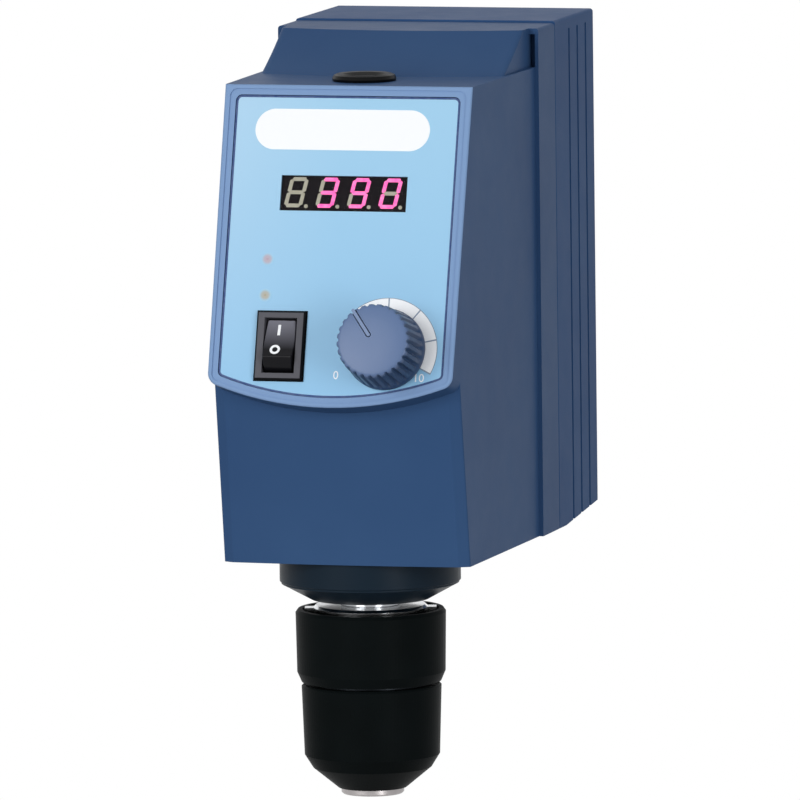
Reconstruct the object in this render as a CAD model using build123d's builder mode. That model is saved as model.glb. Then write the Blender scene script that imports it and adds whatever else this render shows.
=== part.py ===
from build123d import *
import os
from math import acos, cos, pi, radians, sin, sqrt, tan

# Overhead stirrer for laboratory vessels: a die-cast frame carries a hollow vertical spindle,
# a geared motor and the socket for the support rod, inside a moulded front housing and a
# ribbed rear cover.  A self-centring three-jaw chuck hangs under the nose collar.
# Millimetres.  +Z is up along the spindle, the front faces -Y, and the origin lies on the
# spindle axis at the lower end of the chuck jaws.

os.makedirs("parts", exist_ok=True)

# ---------------------------------------------------------------- fits
seat_fit = 0.02         # radial clearance of pieces that are fixed together
running_fit = 0.05      # radial clearance of a shaft in its bush
moving_gap = 0.3        # gap between pieces that pass each other

# ---------------------------------------------------------------- stirring shaft and spindle
shaft_r = 5.0           # largest stirring shaft that the chuck takes
spindle_bore_r = 5.25
spindle_r = 7.5         # bearing seats and gear seat
spindle_nose_r = 8.0    # threaded nose that carries the chuck
spindle_collar_r = 9.2  # shoulder under the lower bearing

# ---------------------------------------------------------------- chuck
jaw_r = 3.4
jaw_angle = 15.0        # lean of each jaw from the spindle axis, degrees
jaw_tip_offset = 4.9    # jaw axis from the spindle axis at the tip
jaw_land_half_angle = 20.0
jaw_top_z = 33.0
jaw_count = 3
chuck_bore_r = 5.3
nose_r = 9.6
nose_len = 3.0
chuck_body_r = 17.9
chuck_body_top_z = 51.6
nut_bottom_z = 12.5
nut_len = 6.5
nut_groove_r = 11.6
sleeve_mouth_r = 10.5
sleeve_mouth_z = 1.9
sleeve_shoulder_r = 18.2
sleeve_shoulder_z = 8.2
sleeve_low_r = 20.7
sleeve_low_z = 12.2
sleeve_r = 21.4
sleeve_top_z = 33.8
sleeve_joint_gap = 0.9
rear_sleeve_r = 22.7
rear_sleeve_flare = 0.3   # how much wider the rear sleeve is at its top
rear_sleeve_top_z = 56.9
rear_sleeve_mouth_r = 20.9
lock_ring_r = 17.5
lock_ring_h = 6.6
lock_lug_reach = 2.6
lock_lug_w = 5.0
lock_lug_angle = 15.0

# ---------------------------------------------------------------- housing
wall = 3.0
bottom_z = 73.6         # underside of the housing
body_h = 145.0          # underside to the shelf that the shaft cap sits on
tower_h = 12.0          # shelf to the top
front_half_w = 38.3
side_half_w = 40.2      # half-width where the drafted sides meet the rear band
band_step = 1.3         # how far the rear band stands out from the sides
band_half_w = side_half_w + band_step
band_y = 50.5           # front of the rear band
seam_y = 70.5           # joint of front housing and rear cover
back_y = 118.0
cover_lift = 0.6        # how much higher the rear cover is than the band
cover_rise = 3.4        # how far the rear cover's underside climbs towards the back
lower_front_y = -28.9
lower_front_lean = 9.3  # degrees, leaning out towards the top
lower_front_bulge = 1.4
lower_corner_w = 3.2    # flat bevel down each front corner
lower_corner_d = 1.6
lower_corner_r = 0.7
edge_round = 1.0

# ---------------------------------------------------------------- sloping control panel
panel_top_y = -17.8
panel_tilt = 16.5       # degrees from vertical, facing up
panel_len = 99.0        # down the slope to the lowest point of the curved edge
panel_arc_r = 103.0
hood_corner_r = 4.0
rim_w = 3.0
rim_step_w = 1.2
rim_step_depth = 0.4
rim_round = 0.7
panel_recess = 1.6
panel_skin = 0.8
panel_wall = 5.0
panel_fit = 0.15

display_u, display_v = 0.4, -33.1
display_w, display_h = 39.6, 10.9
display_depth = 6.4
lamp_u = -22.1
lamp_r = 1.7
overload_v, power_v = -53.6, -64.7
switch_u, switch_v = -16.2, -80.3
switch_w, switch_h = 15.0, 21.0
dial_u, dial_v = 16.9, -80.9

# ---------------------------------------------------------------- nose collar and bearings
collar_r = 27.7
collar_edge_z = 65.5
collar_tip_r = 18.2
collar_tip_z = 60.1
collar_hub_r = 20.0
collar_screw_circle = 23.5
bearing_r = 16.0
bearing_w = 9.0
bearing_inner_r = 10.3
bearing_outer_bore_r = 13.2
bearing_lip_r = 14.2
slim_bearing_r = 12.0   # upper bearing
slim_bearing_w = 5.0
slim_bearing_inner_r = 9.0
slim_bearing_bore_r = 10.4
slim_bearing_lip_r = 11.0

# ---------------------------------------------------------------- gearing, module 1
gear_module = 1.0
gear_teeth = 48
pinion_teeth = 16
gear_w = 8.0
gear_lift = 13.0        # gear's underside above the housing floor
backlash = 0.08

# ---------------------------------------------------------------- motor
motor_r = 21.0
motor_len = 54.0
motor_wall = 1.5
motor_shaft_r = 2.5
motor_plate_t = 3.0
motor_plate_gap = 7.0   # gear's top face to the motor plate

# ---------------------------------------------------------------- frame and support rod
frame_half_w = 28.0
frame_plate_t = 6.0
frame_wall_t = 5.0
frame_wall_y = 57.0
frame_arm_t = 12.0
rod_r = 7.0
rod_clearance = 0.1
rod_z = 166.6
rod_boss_r = 14.0
rod_depth = 45.0
rod_boss_reach = 10.0   # how far the boss stands out of the rear cover

# ---------------------------------------------------------------- fasteners
m3_r, m3_head_r, m3_head_h = 1.5, 2.75, 2.0
m4_r, m4_head_r, m4_head_h = 2.0, 3.5, 3.0
hole_gap = 0.2          # radial clearance of screw holes

# ---------------------------------------------------------------- mains inlet
inlet_z = 98.6
inlet_w, inlet_h = 24.0, 16.6
inlet_wall = 1.6
inlet_depth = 17.0
inlet_flange_w, inlet_flange_h, inlet_flange_t = 50.0, 23.0, 2.5
inlet_screw_pitch = 40.0
fuse_z = 127.6
fuse_r = 6.0
fuse_cap_r = 7.5

# ---------------------------------------------------------------- places worked out from the sizes
shelf_z = bottom_z + body_h
top_z = shelf_z + tower_h
floor_z = bottom_z + wall
ceiling_z = shelf_z - wall
tilt = radians(panel_tilt)
panel = Plane(
    origin=(0, panel_top_y, shelf_z), x_dir=(1, 0, 0), z_dir=(0, -cos(tilt), sin(tilt))
)
gear_r = gear_module * gear_teeth / 2
pinion_r = gear_module * pinion_teeth / 2
motor_y = gear_r + pinion_r
gear_z = floor_z + gear_lift
gear_top_z = gear_z + gear_w
motor_plate_z = gear_top_z + motor_plate_gap
motor_z = motor_plate_z + motor_plate_t
motor_top_z = motor_z + motor_len
lower_bearing_z = floor_z - bearing_w
upper_bearing_z = ceiling_z - 14.0
frame_top_z = upper_bearing_z + slim_bearing_w
frame_back_y = frame_wall_y + frame_wall_t
frame_plate_top = floor_z + frame_plate_t


def half_width(y):
    """Half-width of the drafted front housing at a depth y."""
    y_front = panel_top_y - panel_len * sin(tilt)
    share = (y - y_front) / (band_y - y_front)
    return front_half_w + (side_half_w - front_half_w) * share


def front_at(z):
    """Depth of the lower front face at the middle, at height z."""
    return lower_front_y - tan(radians(lower_front_lean)) * (z - bottom_z)


def axis_plane(x, y, z=0.0):
    """Sketch plane whose local y runs up through (x, y)."""
    return Plane(origin=(x, y, z), x_dir=(1, 0, 0), z_dir=(0, -1, 0))


def down_plane(x, y, z=0.0):
    """Sketch plane whose local y runs down through (x, y)."""
    return Plane(origin=(x, y, z), x_dir=(1, 0, 0), z_dir=(0, 1, 0))


def rear_plane(x, z, y=0.0):
    """Sketch plane whose local y runs to the rear through (x, z)."""
    return Plane(origin=(x, y, z), x_dir=(1, 0, 0), z_dir=(0, 0, 1))


def panel_axis(u, v):
    """Sketch plane whose local y runs out of the panel at (u, v)."""
    return Plane(
        origin=panel.from_local_coords((u, v, 0)), x_dir=(1, 0, 0), z_dir=-panel.y_dir
    )


dial_axis = panel_axis(dial_u, dial_v)


def turned(points, plane=Plane.XZ, mode=Mode.ADD):
    """Turns a half-section of (radius, height) points about the plane's own y axis."""
    with BuildSketch(plane) as section:
        with BuildLine():
            Polyline(*points, close=True)
        make_face()
    revolve(section.sketch, axis=Axis(plane.origin, plane.y_dir), mode=mode)


def screw(plane, seat, length, r, head_r, head_h):
    """Adds one screw: its head stands on seat, and its shank runs back from there."""
    turned(
        [
            (0, seat - length),
            (r, seat - length),
            (r, seat),
            (head_r, seat),
            (head_r, seat + head_h),
            (0, seat + head_h),
        ],
        plane,
    )


def panel_shape(inset, corner_r):
    """Draws the panel's outline in the active sketch, set in from the housing's edge."""
    half = front_half_w - inset
    arc_r = panel_arc_r - inset
    low = -(panel_len - inset)
    corner_v = low + arc_r - sqrt(arc_r**2 - half**2)
    with BuildLine() as outline:
        ThreePointArc((-half, corner_v), (0, low), (half, corner_v))
        Polyline((half, corner_v), (half, -inset), (-half, -inset), (-half, corner_v))
    shape = make_face(outline.edges())
    fillet(shape.vertices(), corner_r)


def label(part, name):
    """Names a finished piece and writes its file."""
    part.part.label = name
    export_step(part.part, f"parts/{name}.step")


# ================================================================ front housing
# Moulded shell, open at the rear: lower body, overhanging panel hood, shaft shelf, stepped
# tower and the wider rear band.
hood_block_h = 107.0       # shelf down to the lowest point the hood can reach
hood_block_z = shelf_z - hood_block_h
hood_root_drop = 84.0      # shelf to where the lower body meets the hood
hood_root_z = shelf_z - hood_root_drop
tower_inset = 1.8
tower_half_w = side_half_w - tower_inset
tower_corner_r = 2.5
ramp_bow = 6.0
ramp_low_y, ramp_mid_y, ramp_top_y = 13.5, 23.5, 37.5
tower_mid_h = 4.5
slot_lip = 1.1          # outer wall of the upright slots between tower and band
slot_depth = 3.4
slot_roof = 1.8         # thickness over the slots, up to the tower's top
seam_bevel = 0.4
panel_vertical_y = panel_top_y - tan(tilt) * body_h


def lower_section(z):
    """Plan of the lower body at height z, with a gently curved front and bevelled corners."""
    y = front_at(z)
    y_corner = y + lower_front_bulge
    y_side = y_corner + lower_corner_d
    x_side = half_width(y_side)
    x = x_side - lower_corner_w
    with BuildSketch(Plane.XY.offset(z)) as section:
        with BuildLine():
            ThreePointArc((-x, y_corner), (0, y), (x, y_corner))
            Polyline(
                (x, y_corner),
                (x_side, y_side),
                (half_width(band_y), band_y),
                (half_width(band_y), seam_y),
                (-half_width(band_y), seam_y),
                (-half_width(band_y), band_y),
                (-x_side, y_side),
                (-x, y_corner),
            )
        plan = make_face()
        fillet(plan.vertices().filter_by_position(Axis.Y, y, 0), lower_corner_r)
    return section.sketch


def tower_section(z, front_y):
    """Plan of the tower at height z, its front bowed forwards to front_y."""
    x, y_corner = tower_half_w, front_y + ramp_bow
    with BuildSketch(Plane.XY.offset(z)) as section:
        with BuildLine():
            ThreePointArc((-x, y_corner), (0, front_y), (x, y_corner))
            Polyline((x, y_corner), (x, seam_y), (-x, seam_y), (-x, y_corner))
        plan = make_face()
        fillet(plan.vertices().group_by(Axis.Y)[0], tower_corner_r)
    return section.sketch


cover_screw_x = band_half_w - 7.0
cover_screw_zs = (floor_z + 4.0, top_z - wall - 4.2)
boss_r = 4.6
cover_screw_seat = 12.0     # screw head's seat behind the seam
cover_screw_bite = 11.0     # screw length inside the front housing
guide_r = 10.8
guide_bore_r = 8.4
guide_len = 5.5
cap_hole_r = 6.6
board_back = 8.2            # panel board's front face behind the panel plane
board_post_r = 3.0
board_posts = [(-29.0, -29.5), (29.0, -29.5), (-29.0, -62.5), (29.0, -62.5)]
pot_bush_r = 3.5
pot_r = 8.0
pot_seat = 7.0              # potentiometer's shoulder behind the panel plane
switch_cut_w, switch_cut_h = 12.9, 19.4

with BuildPart() as front_housing:
    # upper body: drafted plan cut to the panel's outline
    with BuildSketch(Plane.XY.offset(hood_block_z)):
        far_y = panel_vertical_y - 20.0
        with BuildLine():
            Polyline(
                (-half_width(far_y), far_y),
                (half_width(far_y), far_y),
                (half_width(band_y), band_y),
                (half_width(band_y), seam_y),
                (-half_width(band_y), seam_y),
                (-half_width(band_y), band_y),
                close=True,
            )
        make_face()
    extrude(amount=hood_block_h)
    with BuildSketch(panel):
        wide = front_half_w + 8.0
        arc_edge_v = -panel_len + panel_arc_r - sqrt(panel_arc_r**2 - wide**2)
        with BuildLine():
            ThreePointArc((-wide, arc_edge_v), (0, -panel_len), (wide, arc_edge_v))
            Polyline((wide, arc_edge_v), (wide, 60), (-wide, 60), (-wide, arc_edge_v))
        make_face()
    extrude(amount=-2 * seam_y, mode=Mode.INTERSECT)
    hood_corners = front_housing.edges().filter_by(
        lambda e: abs((e % 0.5).dot(panel.z_dir)) > 0.98
    )
    fillet(hood_corners, hood_corner_r)
    panel_face = front_housing.faces().filter_by(
        lambda f: f.normal_at().dot(panel.z_dir) > 0.999
    )
    fillet(panel_face.edges(), rim_round)

    # lower body, leaning out towards the hood
    loft([lower_section(bottom_z), lower_section(hood_root_z)], ruled=True)

    # tower: a raked, slightly hollow ramp behind the shelf
    loft(
        [
            tower_section(shelf_z, ramp_low_y),
            tower_section(shelf_z + tower_mid_h, ramp_mid_y),
            tower_section(top_z, ramp_top_y),
        ]
    )

    # rear band that the cover closes on
    with BuildSketch(Plane.YZ):
        with Locations(((band_y + seam_y) / 2, (bottom_z + top_z) / 2)):
            Rectangle(seam_y - band_y, top_z - bottom_z)
    extrude(amount=band_half_w, both=True)
    top_sides = (
        front_housing.edges()
        .filter_by(Axis.Y)
        .filter_by(lambda e: abs(abs(e.center().X) - band_half_w) < 0.01)
        .group_by(Axis.Z)[-1]
    )
    fillet(top_sides, edge_round)
    chamfer(front_housing.faces().sort_by(Axis.Y)[-1].outer_wire().edges(), seam_bevel)

    # upright slots beside the tower
    with BuildSketch(Plane.XY.offset(shelf_z)):
        for side in (-1, 1):
            slot_w = band_half_w - slot_lip - tower_half_w
            with Locations((side * (tower_half_w + slot_w / 2), band_y + slot_depth / 2)):
                Rectangle(slot_w, slot_depth)
    extrude(amount=tower_h - slot_roof, mode=Mode.SUBTRACT)

    # hollow, following the outside
    lean = tan(radians(lower_front_lean))
    inner_low_y = front_at(floor_z) + wall + lower_front_bulge
    inner_top_y = panel_top_y + panel_wall / cos(tilt) + tan(tilt) * (ceiling_z - shelf_z)
    meet_z = ceiling_z - (inner_top_y - inner_low_y + lean * (ceiling_z - floor_z)) / (
        tan(tilt) + lean
    )
    meet_y = inner_low_y - lean * (meet_z - floor_z)
    with BuildSketch(Plane.YZ):
        with BuildLine():
            Polyline(
                (inner_low_y, floor_z),
                (meet_y, meet_z),
                (inner_top_y, ceiling_z),
                (24.0, ceiling_z),
                (43.0, top_z - wall),
                (seam_y, top_z - wall),
                (seam_y, floor_z),
                close=True,
            )
        make_face()
    extrude(amount=front_half_w - wall, both=True, mode=Mode.SUBTRACT)
    with BuildSketch(Plane.YZ):
        with Locations(((band_y + 4.0 + seam_y) / 2, (floor_z + top_z - wall) / 2)):
            Rectangle(seam_y - band_y - 4.0, top_z - wall - floor_z)
    extrude(amount=band_half_w - wall, both=True, mode=Mode.SUBTRACT)

    # panel recess with a stepped rim
    with BuildSketch(panel):
        panel_shape(rim_step_w, 2.4)
    extrude(amount=-rim_step_depth, mode=Mode.SUBTRACT)
    with BuildSketch(panel):
        panel_shape(rim_w, 2.0)
    extrude(amount=-panel_recess, mode=Mode.SUBTRACT)

    # openings behind the panel
    with BuildSketch(panel):
        with Locations((display_u, display_v)):
            Rectangle(display_w + 1.4, display_h + 2.6)
        with Locations((switch_u, switch_v)):
            Rectangle(switch_cut_w, switch_cut_h)
        with Locations((dial_u, dial_v)):
            Circle(pot_bush_r + hole_gap)
        with Locations((lamp_u, overload_v), (lamp_u, power_v)):
            Circle(lamp_r + hole_gap)
    extrude(amount=-3 * panel_wall, mode=Mode.SUBTRACT)
    turned(
        [
            (0, -pot_seat),
            (pot_r + moving_gap, -pot_seat),
            (pot_r + moving_gap, -pot_seat - 20.0),
            (0, -pot_seat - 20.0),
        ],
        dial_axis,
        Mode.SUBTRACT,
    )

    # posts for the panel board
    with BuildSketch(panel.offset(-panel_wall + 0.5)):
        with Locations(*board_posts):
            Circle(board_post_r)
    extrude(amount=-(board_back - panel_wall + 0.5))
    with BuildSketch(panel.offset(-board_back)):
        with Locations(*board_posts):
            Circle(m3_r + seat_fit)
    extrude(amount=4.0, mode=Mode.SUBTRACT)

    # spigot hole for the nose collar, and the frame's screw holes
    with BuildSketch(Plane.XY.offset(bottom_z)):
        Circle(collar_hub_r + seat_fit)
        with PolarLocations(collar_screw_circle, 4, start_angle=45):
            Circle(m4_r + hole_gap)
    extrude(amount=wall, mode=Mode.SUBTRACT)

    # shaft hole in the shelf, with a guide tube that keeps splashes off the frame
    turned(
        [
            (guide_bore_r, ceiling_z - guide_len),
            (guide_r, ceiling_z - guide_len),
            (guide_r, ceiling_z + 0.5),
            (guide_bore_r, ceiling_z + 0.5),
        ]
    )
    with BuildSketch(Plane.XY.offset(ceiling_z)):
        Circle(cap_hole_r)
    extrude(amount=wall, mode=Mode.SUBTRACT)

    # bosses for the rear cover's screws
    for x in (-cover_screw_x, cover_screw_x):
        for z in cover_screw_zs:
            boss_plane = rear_plane(x, z)
            turned(
                [(0, band_y + 4.0), (boss_r, band_y + 4.0), (boss_r, seam_y), (0, seam_y)],
                boss_plane,
            )
            turned(
                [
                    (0, seam_y - cover_screw_bite - 1.0),
                    (m4_r + seat_fit, seam_y - cover_screw_bite - 1.0),
                    (m4_r + seat_fit, seam_y),
                    (0, seam_y),
                ],
                boss_plane,
                Mode.SUBTRACT,
            )
label(front_housing, "front_housing")

# ================================================================ rear cover
# Moulded shell with three grooves down each side; its underside climbs to the back.
groove_w = 1.7
groove_depth = 1.0
groove_pitch = 10.1
first_groove_y = 87.8
cover_wall = 2.6
socket_gap = 0.4

with BuildPart() as rear_cover:
    with BuildSketch(Plane.YZ):
        with BuildLine():
            Polyline(
                (seam_y, bottom_z),
                (seam_y + 8.0, bottom_z),
                (back_y, bottom_z + cover_rise),
                (back_y, top_z + cover_lift),
                (seam_y, top_z + cover_lift),
                close=True,
            )
        make_face()
    extrude(amount=band_half_w, both=True)
    cover_edges = rear_cover.edges().filter_by(Axis.Y).group_by(Axis.Z)[-1]
    fillet(cover_edges, edge_round)
    back_edges = rear_cover.faces().sort_by(Axis.Y)[-1].edges()
    fillet(back_edges, edge_round * 0.6)
    chamfer(rear_cover.faces().sort_by(Axis.Y)[0].edges(), seam_bevel)
    with BuildSketch(Plane.YZ):
        with BuildLine():
            Polyline(
                (seam_y, bottom_z + cover_wall),
                (seam_y + 8.0, bottom_z + cover_wall),
                (back_y - cover_wall, bottom_z + cover_rise + cover_wall),
                (back_y - cover_wall, top_z - cover_wall),
                (seam_y, top_z - cover_wall),
                close=True,
            )
        make_face()
    extrude(amount=band_half_w - cover_wall, both=True, mode=Mode.SUBTRACT)

    # grooves
    with BuildSketch(Plane.XY.offset(bottom_z - 1.0)):
        for side in (-1, 1):
            for index in range(3):
                with Locations((side * band_half_w, first_groove_y + index * groove_pitch)):
                    Rectangle(2 * groove_depth, groove_w)
    extrude(amount=top_z - bottom_z - edge_round - 1.0, mode=Mode.SUBTRACT)

    # long screw bosses, counterbored from the back
    for x in (-cover_screw_x, cover_screw_x):
        for z in cover_screw_zs:
            boss_plane = rear_plane(x, z)
            boss_end = back_y - cover_wall + 0.5
            turned(
                [(0, seam_y), (boss_r + 1.0, seam_y), (boss_r + 1.0, boss_end), (0, boss_end)],
                boss_plane,
            )
            turned(
                [
                    (0, seam_y - 1.0),
                    (m4_r + hole_gap, seam_y - 1.0),
                    (m4_r + hole_gap, seam_y + cover_screw_seat),
                    (m4_head_r + 0.5, seam_y + cover_screw_seat),
                    (m4_head_r + 0.5, back_y + 1.0),
                    (0, back_y + 1.0),
                ],
                boss_plane,
                Mode.SUBTRACT,
            )
    # keep the bosses inside the shell
    with BuildSketch(Plane.YZ):
        with BuildLine():
            Polyline(
                (seam_y, bottom_z),
                (seam_y + 8.0, bottom_z),
                (back_y, bottom_z + cover_rise),
                (back_y, top_z + cover_lift),
                (seam_y, top_z + cover_lift),
                close=True,
            )
        make_face()
    extrude(amount=band_half_w, both=True, mode=Mode.INTERSECT)

    # openings for the rod socket, mains inlet and fuse holder
    with BuildSketch(Plane.XZ.offset(-(back_y - 2 * cover_wall))):
        with Locations((0, rod_z)):
            Circle(rod_boss_r + socket_gap)
        with Locations((0, inlet_z)):
            Rectangle(inlet_w + 2 * inlet_wall + 0.4, inlet_h + 2 * inlet_wall + 0.4)
            with Locations((-inlet_screw_pitch / 2, 0), (inlet_screw_pitch / 2, 0)):
                Circle(m3_r + seat_fit)
        with Locations((0, fuse_z)):
            Circle(fuse_r + hole_gap)
    extrude(amount=-4 * cover_wall, mode=Mode.SUBTRACT)
label(rear_cover, "rear_cover")

with BuildPart() as housing_screws:
    for x in (-cover_screw_x, cover_screw_x):
        for z in cover_screw_zs:
            seat = seam_y + cover_screw_seat
            length = cover_screw_seat + cover_screw_bite
            screw(rear_plane(x, z), seat, length, m4_r, m4_head_r, m4_head_h)
label(housing_screws, "housing_screws")

# ================================================================ nose collar
# Turned collar that holds the lower bearing and clamps the frame through the housing floor.
with BuildPart() as nose_collar:
    turned(
        [
            (spindle_collar_r + moving_gap, collar_tip_z),
            (collar_tip_r, collar_tip_z),
            (collar_r - 2.2, collar_edge_z - 1.4),
            (collar_r - 0.5, collar_edge_z - 0.5),
            (collar_r - 0.5, collar_edge_z),
            (collar_r, collar_edge_z + 0.3),
            (collar_r, bottom_z),
            (collar_hub_r, bottom_z),
            (collar_hub_r, floor_z),
            (bearing_r + seat_fit, floor_z),
            (bearing_r + seat_fit, lower_bearing_z),
            (spindle_collar_r + moving_gap, lower_bearing_z),
        ]
    )
    with BuildSketch(Plane.XY.offset(bottom_z)):
        with PolarLocations(collar_screw_circle, 4, start_angle=45):
            Circle(m4_r + seat_fit)
    extrude(amount=-6.5, mode=Mode.SUBTRACT)
label(nose_collar, "nose_collar")

# ================================================================ frame
# Cast frame: floor plate, rear wall with two gussets, bearing arm and motor posts.
post_inset = 4.5           # motor posts from the frame's sides
post_x = frame_half_w - post_inset
post_ys = (motor_y - 12.0, motor_y + 18.0)
post_r = 4.0
rod_flange_w, rod_flange_h, rod_flange_t = 40.0, 36.0, 5.0
rod_screw_dx, rod_screw_dz = 15.0, 13.5
standoff_x = 20.0
standoff_zs = (floor_z + 10.0, floor_z + 62.0)

with BuildPart() as frame:
    with BuildSketch(Plane.XY.offset(floor_z)):
        plate_front = inner_low_y + 0.7
        with Locations((0, (plate_front + frame_back_y) / 2)):
            RectangleRounded(2 * frame_half_w, frame_back_y - plate_front, 6.0)
    extrude(amount=frame_plate_t)
    with BuildSketch(Plane.XZ.offset(-frame_wall_y)):
        with Locations((0, (floor_z + frame_top_z) / 2)):
            Rectangle(2 * frame_half_w, frame_top_z - floor_z)
        with Locations((0, floor_z + 36.0)):
            RectangleRounded(22.0, 34.0, 4.0, mode=Mode.SUBTRACT)
    extrude(amount=-frame_wall_t)
    # bearing arm
    with BuildSketch(Plane.XY.offset(frame_top_z - frame_arm_t)):
        Circle(slim_bearing_r + 3.5)
        with Locations((0, frame_wall_y / 2)):
            Rectangle(2 * frame_half_w - 20.0, frame_wall_y)
        with Locations((0, motor_y)):
            Circle(8.0, mode=Mode.SUBTRACT)
    extrude(amount=frame_arm_t)
    # gussets under the arm
    for x in (-frame_half_w + 10.0, frame_half_w - 14.0):
        with BuildSketch(Plane.YZ.offset(x)):
            with BuildLine():
                Polyline(
                    (frame_wall_y, frame_top_z - frame_arm_t),
                    (frame_wall_y - 26.0, frame_top_z - frame_arm_t),
                    (frame_wall_y, frame_top_z - frame_arm_t - 14.0),
                    close=True,
                )
            make_face()
        extrude(amount=4.0)
    # motor posts
    with BuildSketch(Plane.XY.offset(floor_z)):
        for y in post_ys:
            with Locations((-post_x, y), (post_x, y)):
                Circle(post_r)
    extrude(amount=motor_plate_z - floor_z)
    # bearing seats, lips and screw holes
    with BuildSketch(Plane.XY.offset(floor_z)):
        Circle(bearing_lip_r)
        with PolarLocations(collar_screw_circle, 4, start_angle=45):
            Circle(m4_r + hole_gap)
    extrude(amount=frame_plate_t, mode=Mode.SUBTRACT)
    with BuildSketch(Plane.XY.offset(upper_bearing_z)):
        Circle(slim_bearing_r + seat_fit)
    extrude(amount=slim_bearing_w, mode=Mode.SUBTRACT)
    with BuildSketch(Plane.XY.offset(frame_top_z - frame_arm_t)):
        Circle(slim_bearing_lip_r)
    extrude(amount=frame_arm_t, mode=Mode.SUBTRACT)
    with BuildSketch(Plane.XY.offset(motor_plate_z)):
        for y in post_ys:
            with Locations((-post_x, y), (post_x, y)):
                Circle(m4_r + seat_fit)
    extrude(amount=-9.0, mode=Mode.SUBTRACT)
    with BuildSketch(Plane.XZ.offset(-frame_back_y)):
        with Locations((0, rod_z)):
            with GridLocations(2 * rod_screw_dx, 2 * rod_screw_dz, 2, 2):
                Circle(m4_r + seat_fit)
        for z in standoff_zs:
            with Locations((-standoff_x, z), (standoff_x, z)):
                Circle(m3_r + seat_fit)
    extrude(amount=frame_wall_t, mode=Mode.SUBTRACT)
label(frame, "frame")

with BuildPart() as frame_screws:
    for index in range(4):
        angle = radians(45 + 90 * index)
        spot = axis_plane(collar_screw_circle * cos(angle), collar_screw_circle * sin(angle))
        screw(spot, frame_plate_top, frame_plate_t + wall + 6.0, m4_r, m4_head_r, m4_head_h)
label(frame_screws, "frame_screws")

# ================================================================ rod socket
# Steel boss that takes the support rod from behind, with two clamp screws on top.
rod_boss_end = back_y + rod_boss_reach
rod_bore_r = rod_r + rod_clearance
set_screw_r = 3.0
set_screw_len = rod_boss_r - rod_bore_r + 3.0
set_screw_ys = (rod_boss_end - 5.5,)

with BuildPart() as rod_socket:
    with BuildSketch(Plane.XZ.offset(-frame_back_y)):
        with Locations((0, rod_z)):
            RectangleRounded(rod_flange_w, rod_flange_h, 4.0)
            with GridLocations(2 * rod_screw_dx, 2 * rod_screw_dz, 2, 2):
                Circle(m4_r + hole_gap, mode=Mode.SUBTRACT)
    extrude(amount=-rod_flange_t)
    turned(
        [
            (0, frame_back_y),
            (rod_boss_r, frame_back_y),
            (rod_boss_r, rod_boss_end - 1.0),
            (rod_boss_r - 1.0, rod_boss_end),
            (rod_bore_r, rod_boss_end),
            (rod_bore_r, rod_boss_end - rod_depth),
            (0, rod_boss_end - rod_depth),
        ],
        rear_plane(0, rod_z),
    )
    for side in (-1, 1):
        bore = Plane(origin=(0, set_screw_ys[0], rod_z), x_dir=(0, 1, 0), z_dir=(side, 0, 0))
        with BuildSketch(bore):
            Circle(set_screw_r + seat_fit)
        extrude(amount=rod_boss_r + 1.0, mode=Mode.SUBTRACT)
label(rod_socket, "rod_socket")

with BuildPart() as rod_set_screws:
    for side in (-1, 1):
        start = rod_bore_r + 0.4
        bore = Plane(origin=(0, set_screw_ys[0], rod_z), x_dir=(0, 1, 0), z_dir=(side, 0, 0))
        with BuildSketch(bore.offset(start)):
            Circle(set_screw_r)
        extrude(amount=set_screw_len)
        with BuildSketch(bore.offset(start + set_screw_len - 2.5)):
            RegularPolygon(1.5, 6)
        extrude(amount=3.0, mode=Mode.SUBTRACT)
label(rod_set_screws, "rod_set_screws")

with BuildPart() as rod_socket_screws:
    for x in (-rod_screw_dx, rod_screw_dx):
        for z in (rod_z - rod_screw_dz, rod_z + rod_screw_dz):
            seat = frame_back_y + rod_flange_t
            screw(rear_plane(x, z), seat, rod_flange_t + 4.5, m4_r, m4_head_r, m4_head_h)
label(rod_socket_screws, "rod_socket_screws")

# ================================================================ bearings
# Sealed ball bearings: the outer ring carries both seals, the inner ring turns.
seal_t = 0.8
seal_inset = 0.4


def bearing_outer(z, w, outer_r, bore_r, inner_r):
    """Outer ring with its seals, standing on z."""
    seal_r = inner_r + moving_gap
    low, high = z + seal_inset, z + w - seal_inset
    turned(
        [
            (outer_r, z),
            (outer_r, z + w),
            (bore_r, z + w),
            (bore_r, high),
            (seal_r, high),
            (seal_r, high - seal_t),
            (bore_r, high - seal_t),
            (bore_r, low + seal_t),
            (seal_r, low + seal_t),
            (seal_r, low),
            (bore_r, low),
            (bore_r, z),
        ]
    )


def bearing_inner(z, w, inner_r):
    """Inner ring, standing on z."""
    turned(
        [
            (spindle_r + seat_fit, z),
            (inner_r, z),
            (inner_r, z + w),
            (spindle_r + seat_fit, z + w),
        ]
    )


with BuildPart() as lower_bearing_outer:
    bearing_outer(lower_bearing_z, bearing_w, bearing_r, bearing_outer_bore_r, bearing_inner_r)
label(lower_bearing_outer, "lower_bearing_outer")

with BuildPart() as lower_bearing_inner:
    bearing_inner(lower_bearing_z, bearing_w, bearing_inner_r)
label(lower_bearing_inner, "lower_bearing_inner")

with BuildPart() as upper_bearing_outer:
    bearing_outer(
        upper_bearing_z,
        slim_bearing_w,
        slim_bearing_r,
        slim_bearing_bore_r,
        slim_bearing_inner_r,
    )
label(upper_bearing_outer, "upper_bearing_outer")

with BuildPart() as upper_bearing_inner:
    bearing_inner(upper_bearing_z, slim_bearing_w, slim_bearing_inner_r)
label(upper_bearing_inner, "upper_bearing_inner")

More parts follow.
